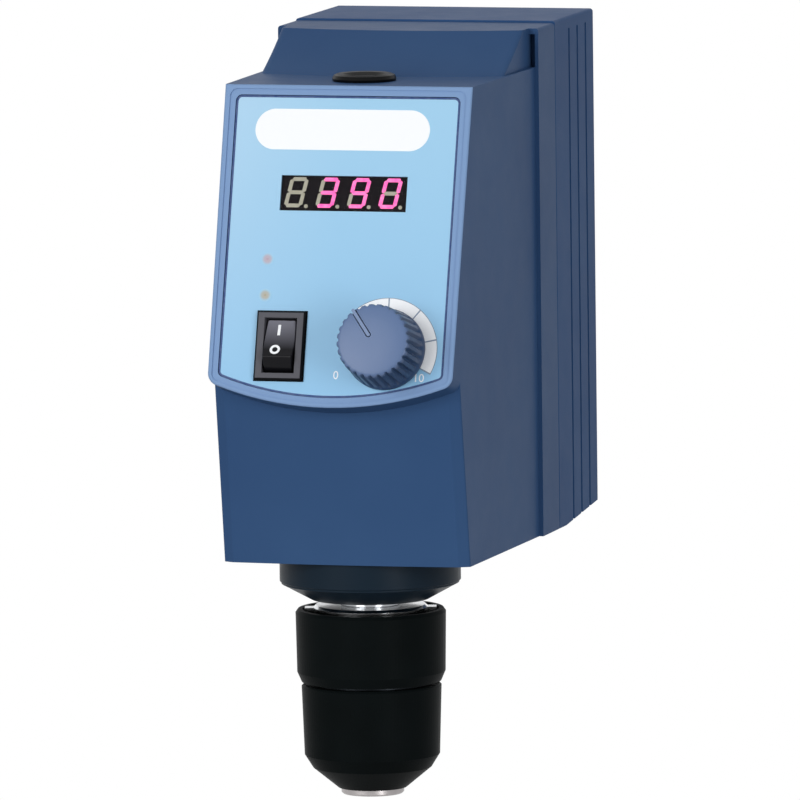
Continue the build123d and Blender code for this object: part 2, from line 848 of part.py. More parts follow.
# ================================================================ spindle
# Hollow, so that a long stirring shaft can pass up through the housing.
spindle_bottom_z = 38.6
spindle_top_z = ceiling_z - 1.2
shoulder_z = chuck_body_top_z + lock_ring_h + 0.2
clip_groove_r = spindle_r - 0.5
clip_t = 1.2
clip_r = 9.4
clip_zs = (floor_z + 0.1, frame_top_z + 0.1)

with BuildPart() as spindle:
    profile = [
        (spindle_bore_r, spindle_bottom_z),
        (spindle_nose_r, spindle_bottom_z),
        (spindle_nose_r, shoulder_z),
        (spindle_collar_r, shoulder_z),
        (spindle_collar_r, lower_bearing_z),
        (spindle_r, lower_bearing_z),
    ]
    for clip_z in clip_zs:
        profile += [
            (spindle_r, clip_z),
            (clip_groove_r, clip_z),
            (clip_groove_r, clip_z + clip_t),
            (spindle_r, clip_z + clip_t),
        ]
    profile += [(spindle_r, spindle_top_z), (spindle_bore_r, spindle_top_z)]
    turned(profile)
label(spindle, "spindle")

with BuildPart() as spindle_circlips:
    for clip_z in clip_zs:
        with BuildSketch(Plane.XY.offset(clip_z)):
            Circle(clip_r)
            Circle(clip_groove_r + seat_fit, mode=Mode.SUBTRACT)
            with Locations((0, -clip_r)):
                Rectangle(5.0, clip_r, mode=Mode.SUBTRACT)
        extrude(amount=clip_t)
label(spindle_circlips, "spindle_circlips")

# ================================================================ gear pair
pressure_angle = radians(20)


def gear_outline(teeth, thin, phase):
    """Draws a spur gear in the active sketch; its tooth flanks are arcs on the involute."""
    pitch_r = gear_module * teeth / 2
    base_r = pitch_r * cos(pressure_angle)
    tip_r = pitch_r + gear_module
    root_r = pitch_r - 1.25 * gear_module
    start_r = max(base_r, root_r)

    def half_angle(r):
        roll = acos(min(1.0, base_r / r))
        pitch_inv = tan(pressure_angle) - pressure_angle
        at_pitch = pi / (2 * teeth) - thin / (2 * pitch_r)
        return at_pitch + pitch_inv - (tan(roll) - roll)

    def spot(r, angle):
        return (r * cos(angle), r * sin(angle))

    mid_r = (start_r + tip_r) / 2
    with BuildLine() as outline:
        for index in range(teeth):
            centre = phase + 2 * pi * index / teeth
            following = centre + 2 * pi / teeth
            foot, middle, top = half_angle(start_r), half_angle(mid_r), half_angle(tip_r)
            if start_r > root_r:
                Line(spot(root_r, centre - foot), spot(start_r, centre - foot))
                Line(spot(start_r, centre + foot), spot(root_r, centre + foot))
            ThreePointArc(
                spot(start_r, centre - foot),
                spot(mid_r, centre - middle),
                spot(tip_r, centre - top),
            )
            Line(spot(tip_r, centre - top), spot(tip_r, centre + top))
            ThreePointArc(
                spot(tip_r, centre + top),
                spot(mid_r, centre + middle),
                spot(start_r, centre + foot),
            )
            Line(spot(root_r, centre + foot), spot(root_r, following - foot))
    make_face(outline.edges())


hub_r = 12.0
hub_len = 6.0
gear_web_r = 17.0

with BuildPart() as driven_gear:
    with BuildSketch(Plane.XY.offset(gear_z)):
        gear_outline(gear_teeth, backlash, radians(90))
        with PolarLocations(gear_web_r, 6, start_angle=30):
            Circle(3.4, mode=Mode.SUBTRACT)
    extrude(amount=gear_w)
    with BuildSketch(Plane.XY.offset(gear_top_z)):
        Circle(hub_r)
    extrude(amount=hub_len)
    with BuildSketch(Plane.XY.offset(gear_z)):
        Circle(spindle_r + seat_fit)
    extrude(amount=gear_w + hub_len, mode=Mode.SUBTRACT)
    with BuildSketch(Plane.XZ):
        with Locations((0, gear_top_z + hub_len / 2)):
            Circle(m4_r + seat_fit)
    extrude(amount=hub_r + 1.0, mode=Mode.SUBTRACT)
label(driven_gear, "driven_gear")

with BuildPart() as gear_set_screw:
    with BuildSketch(Plane.XZ.offset(spindle_r + 0.1)):
        with Locations((0, gear_top_z + hub_len / 2)):
            Circle(m4_r)
    extrude(amount=hub_r - spindle_r - 0.3)
label(gear_set_screw, "gear_set_screw")

with BuildPart() as motor_pinion:
    with BuildSketch(Plane.XY.offset(gear_z - 0.5)):
        gear_outline(pinion_teeth, backlash, radians(90) + pi / pinion_teeth)
        Circle(motor_shaft_r + seat_fit, mode=Mode.SUBTRACT)
    extrude(amount=gear_w + 1.0)
pinion_place = Location((0, motor_y, 0))
motor_pinion.part.label = "motor_pinion"
motor_pinion.part.locate(pinion_place)
export_step(motor_pinion.part, "parts/motor_pinion.step")

# ================================================================ motor
motor_axis = axis_plane(0, motor_y)
motor_bush_r = 5.0
motor_bush_len = 5.0
stator_bore_r = 11.6
rotor_r = 11.0
stator_len = 36.0
stator_z = motor_z + 9.0
end_cap_t = 4.0
motor_screw_circle = 16.0

with BuildPart() as motor_plate:
    with BuildSketch(Plane.XY.offset(motor_plate_z)):
        with Locations((0, (post_ys[0] + post_ys[1]) / 2)):
            RectangleRounded(2 * (post_x + 5.0), post_ys[1] - post_ys[0] + 10.0, 5.0)
        Circle(hub_r + 2.0, mode=Mode.SUBTRACT)
        with Locations((0, motor_y)):
            Circle(motor_bush_r + 1.0, mode=Mode.SUBTRACT)
            with PolarLocations(motor_screw_circle, 4, start_angle=45):
                Circle(m3_r + hole_gap, mode=Mode.SUBTRACT)
        for y in post_ys:
            with Locations((-post_x, y), (post_x, y)):
                Circle(m4_r + hole_gap, mode=Mode.SUBTRACT)
    extrude(amount=motor_plate_t)
label(motor_plate, "motor_plate")

with BuildPart() as motor_plate_screws:
    for y in post_ys:
        for x in (-post_x, post_x):
            screw(axis_plane(x, y), motor_z, motor_plate_t + 8.0, m4_r, m4_head_r, m4_head_h)
label(motor_plate_screws, "motor_plate_screws")

with BuildPart() as motor_can:
    turned(
        [
            (motor_bush_r + seat_fit, motor_z),
            (motor_r, motor_z),
            (motor_r, motor_top_z),
            (motor_r - motor_wall, motor_top_z),
            (motor_r - motor_wall, motor_z + 2.5),
            (motor_bush_r + seat_fit, motor_z + 2.5),
        ],
        motor_axis,
    )
    with BuildSketch(Plane.XY.offset(motor_z)):
        with Locations((0, motor_y)):
            with PolarLocations(motor_screw_circle, 4, start_angle=45):
                Circle(m3_r + seat_fit)
    extrude(amount=2.5, mode=Mode.SUBTRACT)
label(motor_can, "motor_can")

with BuildPart() as motor_screws:
    for index in range(4):
        angle = radians(45 + 90 * index)
        x = motor_screw_circle * cos(angle)
        y = motor_y + motor_screw_circle * sin(angle)
        screw(down_plane(x, y), -motor_plate_z, motor_plate_t + 2.4, m3_r, m3_head_r, m3_head_h)
label(motor_screws, "motor_screws")

with BuildPart() as motor_end_cap:
    turned(
        [
            (motor_bush_r + seat_fit, motor_top_z),
            (motor_r, motor_top_z),
            (motor_r, motor_top_z + end_cap_t - 1.5),
            (motor_r - 1.5, motor_top_z + end_cap_t),
            (motor_bush_r + seat_fit, motor_top_z + end_cap_t),
        ],
        motor_axis,
    )
label(motor_end_cap, "motor_end_cap")

with BuildPart() as motor_stator:
    with BuildSketch(Plane.XY.offset(stator_z)):
        with Locations((0, motor_y)):
            Circle(motor_r - motor_wall - seat_fit)
            Circle(stator_bore_r, mode=Mode.SUBTRACT)
            with PolarLocations(stator_bore_r + 3.4, 9):
                Rectangle(5.0, 4.0, mode=Mode.SUBTRACT)
    extrude(amount=stator_len)
label(motor_stator, "motor_stator")

with BuildPart() as motor_bushes:
    for z in (motor_z, motor_top_z + end_cap_t - motor_bush_len):
        turned(
            [
                (motor_shaft_r + running_fit, z),
                (motor_bush_r, z),
                (motor_bush_r, z + motor_bush_len),
                (motor_shaft_r + running_fit, z + motor_bush_len),
            ],
            motor_axis,
        )
label(motor_bushes, "motor_bushes")

with BuildPart() as motor_rotor:
    rotor_low, rotor_high = stator_z + 1.0, stator_z + stator_len - 1.0
    turned(
        [
            (motor_shaft_r + seat_fit, rotor_low),
            (rotor_r, rotor_low),
            (rotor_r, rotor_high),
            (motor_shaft_r + seat_fit, rotor_high),
        ],
        motor_axis,
    )
label(motor_rotor, "motor_rotor")

with BuildPart() as motor_shaft:
    shaft_low, shaft_high = gear_z - 1.5, motor_top_z + end_cap_t + 3.0
    turned(
        [(0, shaft_low), (motor_shaft_r, shaft_low), (motor_shaft_r, shaft_high), (0, shaft_high)],
        motor_axis,
    )
label(motor_shaft, "motor_shaft")

# ================================================================ chuck
# Self-centring three-jaw chuck: turning the sleeve and its nut screws the leaning jaws down
# and in, through guide bores in the body.
jaw_lean = radians(jaw_angle)


def jaw_plane(azimuth):
    """Plane across a jaw's axis, at the height of the jaw tips."""
    a = radians(azimuth)
    direction = (sin(jaw_lean) * cos(a), sin(jaw_lean) * sin(a), cos(jaw_lean))
    return Plane(origin=(jaw_tip_offset * cos(a), jaw_tip_offset * sin(a), 0), z_dir=direction)


def jaw_outside(z):
    """Radius that a jaw's outer side reaches at height z."""
    return jaw_tip_offset + z * tan(jaw_lean) + jaw_r / cos(jaw_lean)


body_cone_z = nose_len + chuck_body_r - nose_r
sleeve_bore_r = chuck_body_r + moving_gap
cone_gap = moving_gap * sqrt(2)
thread_gap = moving_gap

with BuildPart() as chuck_body:
    turned(
        [
            (chuck_bore_r, 0),
            (nose_r - 0.5, 0),
            (nose_r, 0.5),
            (nose_r, nose_len),
            (chuck_body_r, body_cone_z),
            (chuck_body_r, nut_bottom_z - moving_gap),
            (nut_groove_r, nut_bottom_z - moving_gap),
            (nut_groove_r, nut_bottom_z + nut_len + moving_gap),
            (chuck_body_r, nut_bottom_z + nut_len + moving_gap),
            (chuck_body_r, chuck_body_top_z),
            (spindle_nose_r + seat_fit, chuck_body_top_z),
            (spindle_nose_r + seat_fit, spindle_bottom_z),
            (chuck_bore_r, spindle_bottom_z),
        ]
    )
    for index in range(jaw_count):
        with BuildSketch(jaw_plane(360 * index / jaw_count - 90).offset(-2.0)):
            Circle(jaw_r + running_fit)
        extrude(amount=(jaw_top_z + 2.5) / cos(jaw_lean), mode=Mode.SUBTRACT)
label(chuck_body, "chuck_body")

jaw_land_x = shaft_r * cos(radians(jaw_land_half_angle))
jaw_land_y = shaft_r * sin(radians(jaw_land_half_angle))
jaw_apex = jaw_land_x - jaw_land_y / tan(radians(60))
for index in range(jaw_count):
    azimuth = 360 * index / jaw_count - 90
    with BuildPart() as jaw:
        with BuildSketch(jaw_plane(azimuth).offset(-2.0)):
            Circle(jaw_r)
        extrude(amount=jaw_top_z / cos(jaw_lean) + 2.0)
        # three jaws close with 120 degree wedges; the lands are hollowed for the largest shaft
        with BuildSketch(Plane.XY.offset(-5.0).rotated((0, 0, azimuth))):
            with BuildLine():
                Polyline(
                    (jaw_apex, 0),
                    (jaw_apex + 15.0, 15.0 * sqrt(3)),
                    (-20.0, 15.0 * sqrt(3)),
                    (-20.0, -15.0 * sqrt(3)),
                    (jaw_apex + 15.0, -15.0 * sqrt(3)),
                    close=True,
                )
            make_face()
            Circle(shaft_r)
        extrude(amount=jaw_top_z + 10.0, mode=Mode.SUBTRACT)
        with BuildSketch(Plane.XY):
            Rectangle(60, 60)
        extrude(amount=-10.0, mode=Mode.SUBTRACT)
    label(jaw, f"jaw_{index + 1}")

with BuildPart() as chuck_sleeve:
    inner_mouth_r = nose_r + moving_gap
    inner_cone_low = nose_len + inner_mouth_r - nose_r - cone_gap
    inner_cone_high = inner_cone_low + sleeve_bore_r - inner_mouth_r
    turned(
        [
            (inner_mouth_r, sleeve_mouth_z),
            (sleeve_mouth_r, sleeve_mouth_z),
            (sleeve_shoulder_r, sleeve_shoulder_z),
            (sleeve_low_r, sleeve_low_z),
            (sleeve_r, sleeve_top_z - 0.6),
            (sleeve_r - 0.6, sleeve_top_z),
            (sleeve_bore_r, sleeve_top_z),
            (sleeve_bore_r, inner_cone_high),
            (inner_mouth_r, inner_cone_low),
        ]
    )
label(chuck_sleeve, "chuck_sleeve")

with BuildPart() as chuck_nut:
    nut_top_z = nut_bottom_z + nut_len
    turned(
        [
            (jaw_outside(nut_bottom_z) + thread_gap, nut_bottom_z),
            (sleeve_bore_r - seat_fit, nut_bottom_z),
            (sleeve_bore_r - seat_fit, nut_top_z),
            (jaw_outside(nut_top_z) + thread_gap, nut_top_z),
        ]
    )
label(chuck_nut, "chuck_nut")

with BuildPart() as chuck_rear_sleeve:
    rear_z = sleeve_top_z + sleeve_joint_gap
    turned(
        [
            (chuck_body_r + seat_fit, rear_z),
            (sleeve_r, rear_z),
            (rear_sleeve_r, rear_z + 3.0),
            (rear_sleeve_r + rear_sleeve_flare, rear_sleeve_top_z - 1.0),
            (rear_sleeve_r - 0.4, rear_sleeve_top_z),
            (rear_sleeve_mouth_r, rear_sleeve_top_z),
            (rear_sleeve_mouth_r - 0.4, chuck_body_top_z),
            (chuck_body_r + seat_fit, chuck_body_top_z),
        ]
    )
label(chuck_rear_sleeve, "chuck_rear_sleeve")

with BuildPart() as chuck_lock_ring:
    ring_z = chuck_body_top_z
    turned(
        [
            (spindle_nose_r + seat_fit, ring_z),
            (lock_ring_r, ring_z),
            (lock_ring_r, ring_z + lock_ring_h - 0.8),
            (lock_ring_r - 0.8, ring_z + lock_ring_h),
            (spindle_nose_r + seat_fit, ring_z + lock_ring_h),
        ]
    )
    with BuildSketch(Plane.XY.offset(ring_z + lock_ring_h - 3.2)):
        with PolarLocations(lock_ring_r + lock_lug_reach / 2 - 0.5, 2, lock_lug_angle):
            Rectangle(lock_lug_reach + 1.0, lock_lug_w)
    extrude(amount=2.4)
label(chuck_lock_ring, "chuck_lock_ring")

# ================================================================ shaft cap
cap_r = 9.8
cap_h = 2.2
cap_plug_r = cap_hole_r - moving_gap
cap_plug_len = 4.0

with BuildPart() as shaft_cap:
    turned(
        [
            (0, shelf_z - cap_plug_len),
            (cap_plug_r - 0.6, shelf_z - cap_plug_len),
            (cap_plug_r, shelf_z - cap_plug_len + 0.6),
            (cap_plug_r, shelf_z),
            (cap_r - 0.2, shelf_z),
            (cap_r, shelf_z + 0.8),
            (cap_r - 0.5, shelf_z + cap_h - 0.4),
            (cap_r - 1.4, shelf_z + cap_h),
            (cap_r - 2.6, shelf_z + cap_h - 0.2),
            (cap_r - 4.0, shelf_z + cap_h - 1.1),
            (0, shelf_z + cap_h - 1.3),
        ]
    )
label(shaft_cap, "shaft_cap")

# ================================================================ front panel and display
skin_floor = panel.offset(-panel_recess)

with BuildPart() as front_panel:
    with BuildSketch(skin_floor):
        panel_shape(rim_w + panel_fit, 1.9)
        with Locations((display_u, display_v)):
            Rectangle(display_w, display_h, mode=Mode.SUBTRACT)
        with Locations((switch_u, switch_v)):
            Rectangle(switch_cut_w + 0.4, switch_cut_h + 0.4, mode=Mode.SUBTRACT)
        with Locations((dial_u, dial_v)):
            Circle(pot_bush_r + hole_gap, mode=Mode.SUBTRACT)
        with Locations((lamp_u, overload_v), (lamp_u, power_v)):
            Circle(lamp_r + 0.1, mode=Mode.SUBTRACT)
    extrude(amount=panel_skin)
label(front_panel, "front_panel")

with BuildPart() as display_window:
    with BuildSketch(skin_floor):
        with Locations((display_u, display_v)):
            Rectangle(display_w - 2 * 0.1, display_h - 2 * 0.1)
    extrude(amount=panel_skin - 0.1)
label(display_window, "display_window")

with BuildPart() as display_module:
    with BuildSketch(panel.offset(-board_back)):
        with Locations((display_u, display_v)):
            Rectangle(display_w + 0.8, display_h + 2.0)
    extrude(amount=board_back - panel_recess - 0.1)
label(display_module, "display_module")

with BuildPart() as panel_board:
    with BuildSketch(panel.offset(-board_back)):
        with Locations((0, (board_posts[0][1] + board_posts[2][1]) / 2)):
            Rectangle(66.0, 40.5)
        with Locations(*board_posts):
            Circle(m3_r + hole_gap, mode=Mode.SUBTRACT)
    extrude(amount=-1.6)
    # driver chip and connector on the back
    with BuildSketch(panel.offset(-board_back - 1.6)):
        with Locations((-6.0, -47.0)):
            Rectangle(12.0, 12.0)
        with Locations((12.0, -60.0)):
            Rectangle(18.0, 6.0)
    extrude(amount=-3.0)
label(panel_board, "panel_board")

with BuildPart() as board_screws:
    for u, v in board_posts:
        post = panel.from_local_coords((u, v, 0))
        plane = Plane(origin=post, x_dir=(1, 0, 0), z_dir=panel.y_dir)
        screw(plane, board_back + 1.6, 5.0, m3_r, m3_head_r, m3_head_h)
label(board_screws, "board_screws")

for lamp_name, lamp_v in (("overload_lamp", overload_v), ("power_lamp", power_v)):
    with BuildPart() as lamp:
        turned(
            [
                (0, -board_back),
                (lamp_r - 0.1, -board_back),
                (lamp_r - 0.1, -panel_recess + panel_skin - 0.25),
                (lamp_r * 0.6, -panel_recess + panel_skin),
                (0, -panel_recess + panel_skin + 0.1),
            ],
            panel_axis(lamp_u, lamp_v),
        )
    label(lamp, lamp_name)

# ================================================================ power switch
# Snap-in rocker switch: bezel and body in one moulding, a rocker on its pivot, two blades.
skin_top = -panel_recess + panel_skin
bezel_t = 1.6
window_w, window_h = 10.2, 17.0
switch_depth = 15.0
pivot_w = -2.4
rocker_end_r = window_h / 2 - moving_gap
rocker_w = window_w - 2 * moving_gap
rocker_swing = 10.0      # degrees to each side of level
rocker_edge_angle = radians(24)

with BuildPart() as switch_body:
    with BuildSketch(panel.offset(skin_top)):
        with Locations((switch_u, switch_v)):
            RectangleRounded(switch_w, switch_h, 0.6)
    extrude(amount=bezel_t)
    bezel_edges = switch_body.faces().filter_by(
        lambda f: f.normal_at().dot(panel.z_dir) > 0.999
    ).edges()
    chamfer(bezel_edges, 0.5)
    with BuildSketch(panel.offset(skin_top)):
        with Locations((switch_u, switch_v)):
            Rectangle(switch_cut_w - 0.1, switch_cut_h - 0.1)
    extrude(amount=-switch_depth)
    with BuildSketch(panel.offset(skin_top + bezel_t)):
        with Locations((switch_u, switch_v)):
            Rectangle(window_w, window_h)
    extrude(amount=-(bezel_t + 8.5), mode=Mode.SUBTRACT)
    with BuildSketch(panel.offset(skin_top - switch_depth)):
        with Locations((switch_u, switch_v)):
            with GridLocations(1, 7.5, 1, 2):
                Rectangle(4.8, 0.8)
    extrude(amount=-7.0)
label(switch_body, "switch_body")

swing = radians(rocker_swing)
rocker_x = panel.y_dir * cos(swing) - panel.z_dir * sin(swing)
rocker_plane = Plane(
    origin=panel.from_local_coords((switch_u, switch_v, pivot_w)),
    x_dir=rocker_x,
    z_dir=(1, 0, 0),
)
with BuildPart() as switch_rocker:
    edge_x = rocker_end_r * cos(rocker_edge_angle)
    edge_y = rocker_end_r * sin(rocker_edge_angle)
    foot_angle = radians(-24)
    foot_x = rocker_end_r * cos(foot_angle)
    foot_y = rocker_end_r * sin(foot_angle)
    with BuildSketch(rocker_plane):
        with BuildLine():
            ThreePointArc((-edge_x, edge_y), (0, edge_y - 1.1), (edge_x, edge_y))
            ThreePointArc((edge_x, edge_y), (rocker_end_r, 0), (foot_x, foot_y))
            Line((foot_x, foot_y), (-foot_x, foot_y))
            ThreePointArc((-foot_x, foot_y), (-rocker_end_r, 0), (-edge_x, edge_y))
        make_face()
    extrude(amount=rocker_w / 2, both=True)
label(switch_rocker, "switch_rocker")

# ================================================================ speed control
knob_base_r = 12.4
knob_face_r = 11.2
knob_base = skin_top + 0.4
knob_h = 16.0
knob_flutes = 28
knob_nut_af = 10.0
pot_nut_t = 2.0
pot_depth = 9.0
pot_shaft_r = 3.0
pot_shaft_end = 14.0
pointer_angle = 35.5     # pointer at rest, degrees to the left of straight up
pointer_in, pointer_out = 1.2, 12.2
pointer_w = 1.0
pointer_gap = 0.35
pointer_depth = 0.8

with BuildPart() as potentiometer:
    turned(
        [
            (0, -pot_seat - pot_depth),
            (pot_r, -pot_seat - pot_depth),
            (pot_r, -pot_seat),
            (pot_bush_r, -pot_seat),
            (pot_bush_r, skin_top + pot_nut_t + 1.0),
            (pot_shaft_r + running_fit, skin_top + pot_nut_t + 1.0),
            (pot_shaft_r + running_fit, -pot_seat - pot_depth + 3.0),
            (0, -pot_seat - pot_depth + 3.0),
        ],
        dial_axis,
    )
    with BuildSketch(panel.offset(-pot_seat - 6.0)):
        with Locations((dial_u - 5.0, dial_v - pot_r), (dial_u, dial_v - pot_r),
                       (dial_u + 5.0, dial_v - pot_r)):
            Rectangle(1.2, 8.0)
    extrude(amount=-0.6)
label(potentiometer, "potentiometer")

with BuildPart() as potentiometer_nut:
    with BuildSketch(panel.offset(skin_top)):
        with Locations((dial_u, dial_v)):
            RegularPolygon(knob_nut_af / 2, 6, major_radius=False)
            Circle(pot_bush_r + seat_fit, mode=Mode.SUBTRACT)
    extrude(amount=pot_nut_t)
label(potentiometer_nut, "potentiometer_nut")

with BuildPart() as pot_shaft:
    turned(
        [
            (0, -pot_seat - pot_depth + 3.3),
            (pot_shaft_r, -pot_seat - pot_depth + 3.3),
            (pot_shaft_r, pot_shaft_end),
            (0, pot_shaft_end),
        ],
        dial_axis,
    )
label(pot_shaft, "pot_shaft")

with BuildPart() as speed_knob:
    turned(
        [
            (0, knob_base),
            (knob_base_r, knob_base),
            (knob_base_r, knob_base + 1.6),
            (knob_face_r + 0.2, knob_base + knob_h - 0.8),
            (knob_face_r - 0.5, knob_base + knob_h),
            (0, knob_base + knob_h + 0.2),
        ],
        dial_axis,
    )
    # finger flutes, deeper towards the face
    flute_lean = radians(2.6)
    for index in range(knob_flutes):
        a = 2 * pi * index / knob_flutes
        outward = panel.x_dir * cos(a) + panel.y_dir * sin(a)
        along = panel.z_dir * cos(flute_lean) - outward * sin(flute_lean)
        foot = dial_axis.origin + panel.z_dir * (knob_base + 3.0) + outward * knob_base_r
        with BuildSketch(Plane(origin=foot + outward * 0.45, z_dir=along)):
            Circle(1.0)
        extrude(amount=knob_h, mode=Mode.SUBTRACT)
    # pointer: a raised bar in a groove, from near the middle to the rim
    pointer = Location((dial_u, dial_v), 90 + pointer_angle)
    with BuildSketch(panel.offset(knob_base + knob_h + 0.5)):
        with Locations(pointer):
            with Locations(((pointer_in + pointer_out) / 2, 0)):
                SlotOverall(pointer_out - pointer_in, pointer_w + 2 * pointer_gap)
    extrude(amount=-pointer_depth - 0.5, mode=Mode.SUBTRACT)
    with BuildSketch(panel.offset(knob_base + knob_h - pointer_depth - 0.3)):
        with Locations(pointer):
            with Locations(((pointer_in + pointer_out) / 2, 0)):
                SlotOverall(pointer_out - pointer_in - 2 * pointer_gap, pointer_w)
    extrude(amount=pointer_depth + 0.5)
    # bore for the shaft, and room for the nut
    turned(
        [
            (0, knob_base - 1.0),
            (knob_nut_af / 2 + 2.0, knob_base - 1.0),
            (knob_nut_af / 2 + 2.0, skin_top + pot_nut_t + 1.5),
            (pot_shaft_r + seat_fit, skin_top + pot_nut_t + 1.5),
            (pot_shaft_r + seat_fit, pot_shaft_end + 0.3),
            (0, pot_shaft_end + 0.3),
        ],
        dial_axis,
        Mode.SUBTRACT,
    )
label(speed_knob, "speed_knob")

# ================================================================ power board
# Upright board on the frame's rear wall, with the supply's larger components.
board_t = 1.6
standoff_len = 9.0
power_board_y = frame_back_y + standoff_len
power_board_z = floor_z + 3.0
power_board_w, power_board_h = 56.0, 66.0

with BuildPart() as board_standoffs:
    for z in standoff_zs:
        for x in (-standoff_x, standoff_x):
            turned(
                [
                    (0, frame_back_y - 4.0),
                    (m3_r, frame_back_y - 4.0),
                    (m3_r, frame_back_y),
                    (3.0, frame_back_y),
                    (3.0, power_board_y),
                    (0, power_board_y),
                ],
                rear_plane(x, z),
            )
            turned(
                [
                    (0, power_board_y - 5.0),
                    (m3_r + seat_fit, power_board_y - 5.0),
                    (m3_r + seat_fit, power_board_y),
                    (0, power_board_y),
                ],
                rear_plane(x, z),
                Mode.SUBTRACT,
            )
label(board_standoffs, "board_standoffs")

with BuildPart() as power_board:
    with BuildSketch(Plane.XZ.offset(-power_board_y)):
        with Locations((0, power_board_z + power_board_h / 2)):
            Rectangle(power_board_w, power_board_h)
        for z in standoff_zs:
            with Locations((-standoff_x, z), (standoff_x, z)):
                Circle(m3_r + hole_gap, mode=Mode.SUBTRACT)
    extrude(amount=-board_t)
label(power_board, "power_board")

with BuildPart() as power_board_screws:
    for z in standoff_zs:
        for x in (-standoff_x, standoff_x):
            seat = power_board_y + board_t
            screw(rear_plane(x, z), seat, board_t + 4.0, m3_r, m3_head_r, m3_head_h)
label(power_board_screws, "power_board_screws")

component_y = power_board_y + board_t
with BuildPart() as power_components:
    # smoothing capacitors
    for x, z, r, height in ((-9.0, 118.0, 6.5, 14.0), (8.0, 119.0, 5.0, 12.0)):
        turned(
            [
                (0, component_y),
                (r, component_y),
                (r, component_y + height - 0.6),
                (r - 0.6, component_y + height),
                (0, component_y + height),
            ],
            rear_plane(x, z),
        )
    # transformer, film capacitor and heat sink
    with BuildSketch(Plane.XZ.offset(-component_y)):
        with Locations((-1.0, 94.0)):
            Rectangle(24.0, 20.0)
    extrude(amount=-13.0)
    with BuildSketch(Plane.XZ.offset(-component_y)):
        with Locations((23.0, 102.0)):
            Rectangle(7.0, 15.0)
    extrude(amount=-11.0)
    with BuildSketch(Plane.XZ.offset(-component_y)):
        with Locations((-19.0, 102.0)):
            Rectangle(3.0, 18.0)
        for z in (96.0, 102.0, 108.0):
            with Locations((-21.5, z)):
                Rectangle(6.0, 1.6)
    extrude(amount=-12.0)
label(power_components, "power_components")

# ================================================================ mains inlet and fuse
inlet_face_y = back_y + inlet_flange_t
inlet_pin_w, inlet_pin_t = 4.0, 2.0
inlet_pin_reach = 14.0
pin_spots = [(-7.0, -2.0), (7.0, -2.0), (0.0, 2.0)]

with BuildPart() as inlet_socket:
    with BuildSketch(Plane.XZ.offset(-back_y)):
        with Locations((0, inlet_z)):
            RectangleRounded(inlet_flange_w, inlet_flange_h, 5.0)
    extrude(amount=-inlet_flange_t)
    with BuildSketch(Plane.XZ.offset(-back_y)):
        with Locations((0, inlet_z)):
            RectangleRounded(inlet_w + 2 * inlet_wall, inlet_h + 2 * inlet_wall, 2.0)
    extrude(amount=inlet_depth)
    recess = Plane(origin=(0, inlet_face_y, inlet_z), x_dir=(1, 0, 0), z_dir=(0, -1, 0))
    with BuildSketch(recess):
        half_w, half_h = inlet_w / 2, inlet_h / 2
        with BuildLine():
            Polyline(
                (-half_w, -half_h),
                (half_w, -half_h),
                (half_w, half_h - 5.0),
                (half_w - 5.0, half_h),
                (-half_w + 5.0, half_h),
                (-half_w, half_h - 5.0),
                close=True,
            )
        make_face()
    extrude(amount=inlet_depth + inlet_flange_t - 2.0, mode=Mode.SUBTRACT)
    with BuildSketch(Plane.XZ.offset(-inlet_face_y)):
        with Locations((0, inlet_z)):
            with GridLocations(inlet_screw_pitch, 1, 2, 1):
                Circle(m3_r + hole_gap)
    extrude(amount=inlet_flange_t, mode=Mode.SUBTRACT)
    with BuildSketch(Plane.XZ.offset(-(back_y - inlet_depth))):
        with Locations((0, inlet_z)):
            with Locations(*pin_spots):
                Rectangle(inlet_pin_t + 2 * seat_fit, inlet_pin_w + 2 * seat_fit)
    extrude(amount=-2.0, mode=Mode.SUBTRACT)
label(inlet_socket, "inlet_socket")

with BuildPart() as inlet_pins:
    with BuildSketch(Plane.XZ.offset(-(back_y - inlet_depth - 7.0))):
        with Locations((0, inlet_z)):
            with Locations(*pin_spots):
                Rectangle(inlet_pin_t, inlet_pin_w)
    extrude(amount=-(inlet_pin_reach + 9.0))
    pin_ends = inlet_pins.faces().group_by(Axis.Y)[-1].edges()
    chamfer(pin_ends, 0.5)
label(inlet_pins, "inlet_pins")

with BuildPart() as inlet_screws:
    for x in (-inlet_screw_pitch / 2, inlet_screw_pitch / 2):
        screw(rear_plane(x, inlet_z), inlet_face_y, inlet_flange_t + 2.5, m3_r, m3_head_r, 1.6)
label(inlet_screws, "inlet_screws")

with BuildPart() as fuse_holder:
    turned(
        [
            (0, back_y - 24.0),
            (fuse_r - 1.0, back_y - 24.0),
            (fuse_r - 1.0, back_y - 8.0),
            (fuse_r, back_y - 8.0),
            (fuse_r, back_y),
            (fuse_cap_r, back_y),
            (fuse_cap_r, back_y + 1.5),
            (fuse_r, back_y + 2.2),
            (fuse_r - 0.4, back_y + 8.0),
            (0, back_y + 8.0),
        ],
        rear_plane(0, fuse_z),
    )
    with BuildSketch(Plane.XZ.offset(-(back_y + 8.0))):
        with Locations((0, fuse_z)):
            Rectangle(9.0, 1.4)
    extrude(amount=1.4, mode=Mode.SUBTRACT)
label(fuse_holder, "fuse_holder")
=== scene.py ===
import math

import bmesh
import bpy
from mathutils import Matrix, Vector


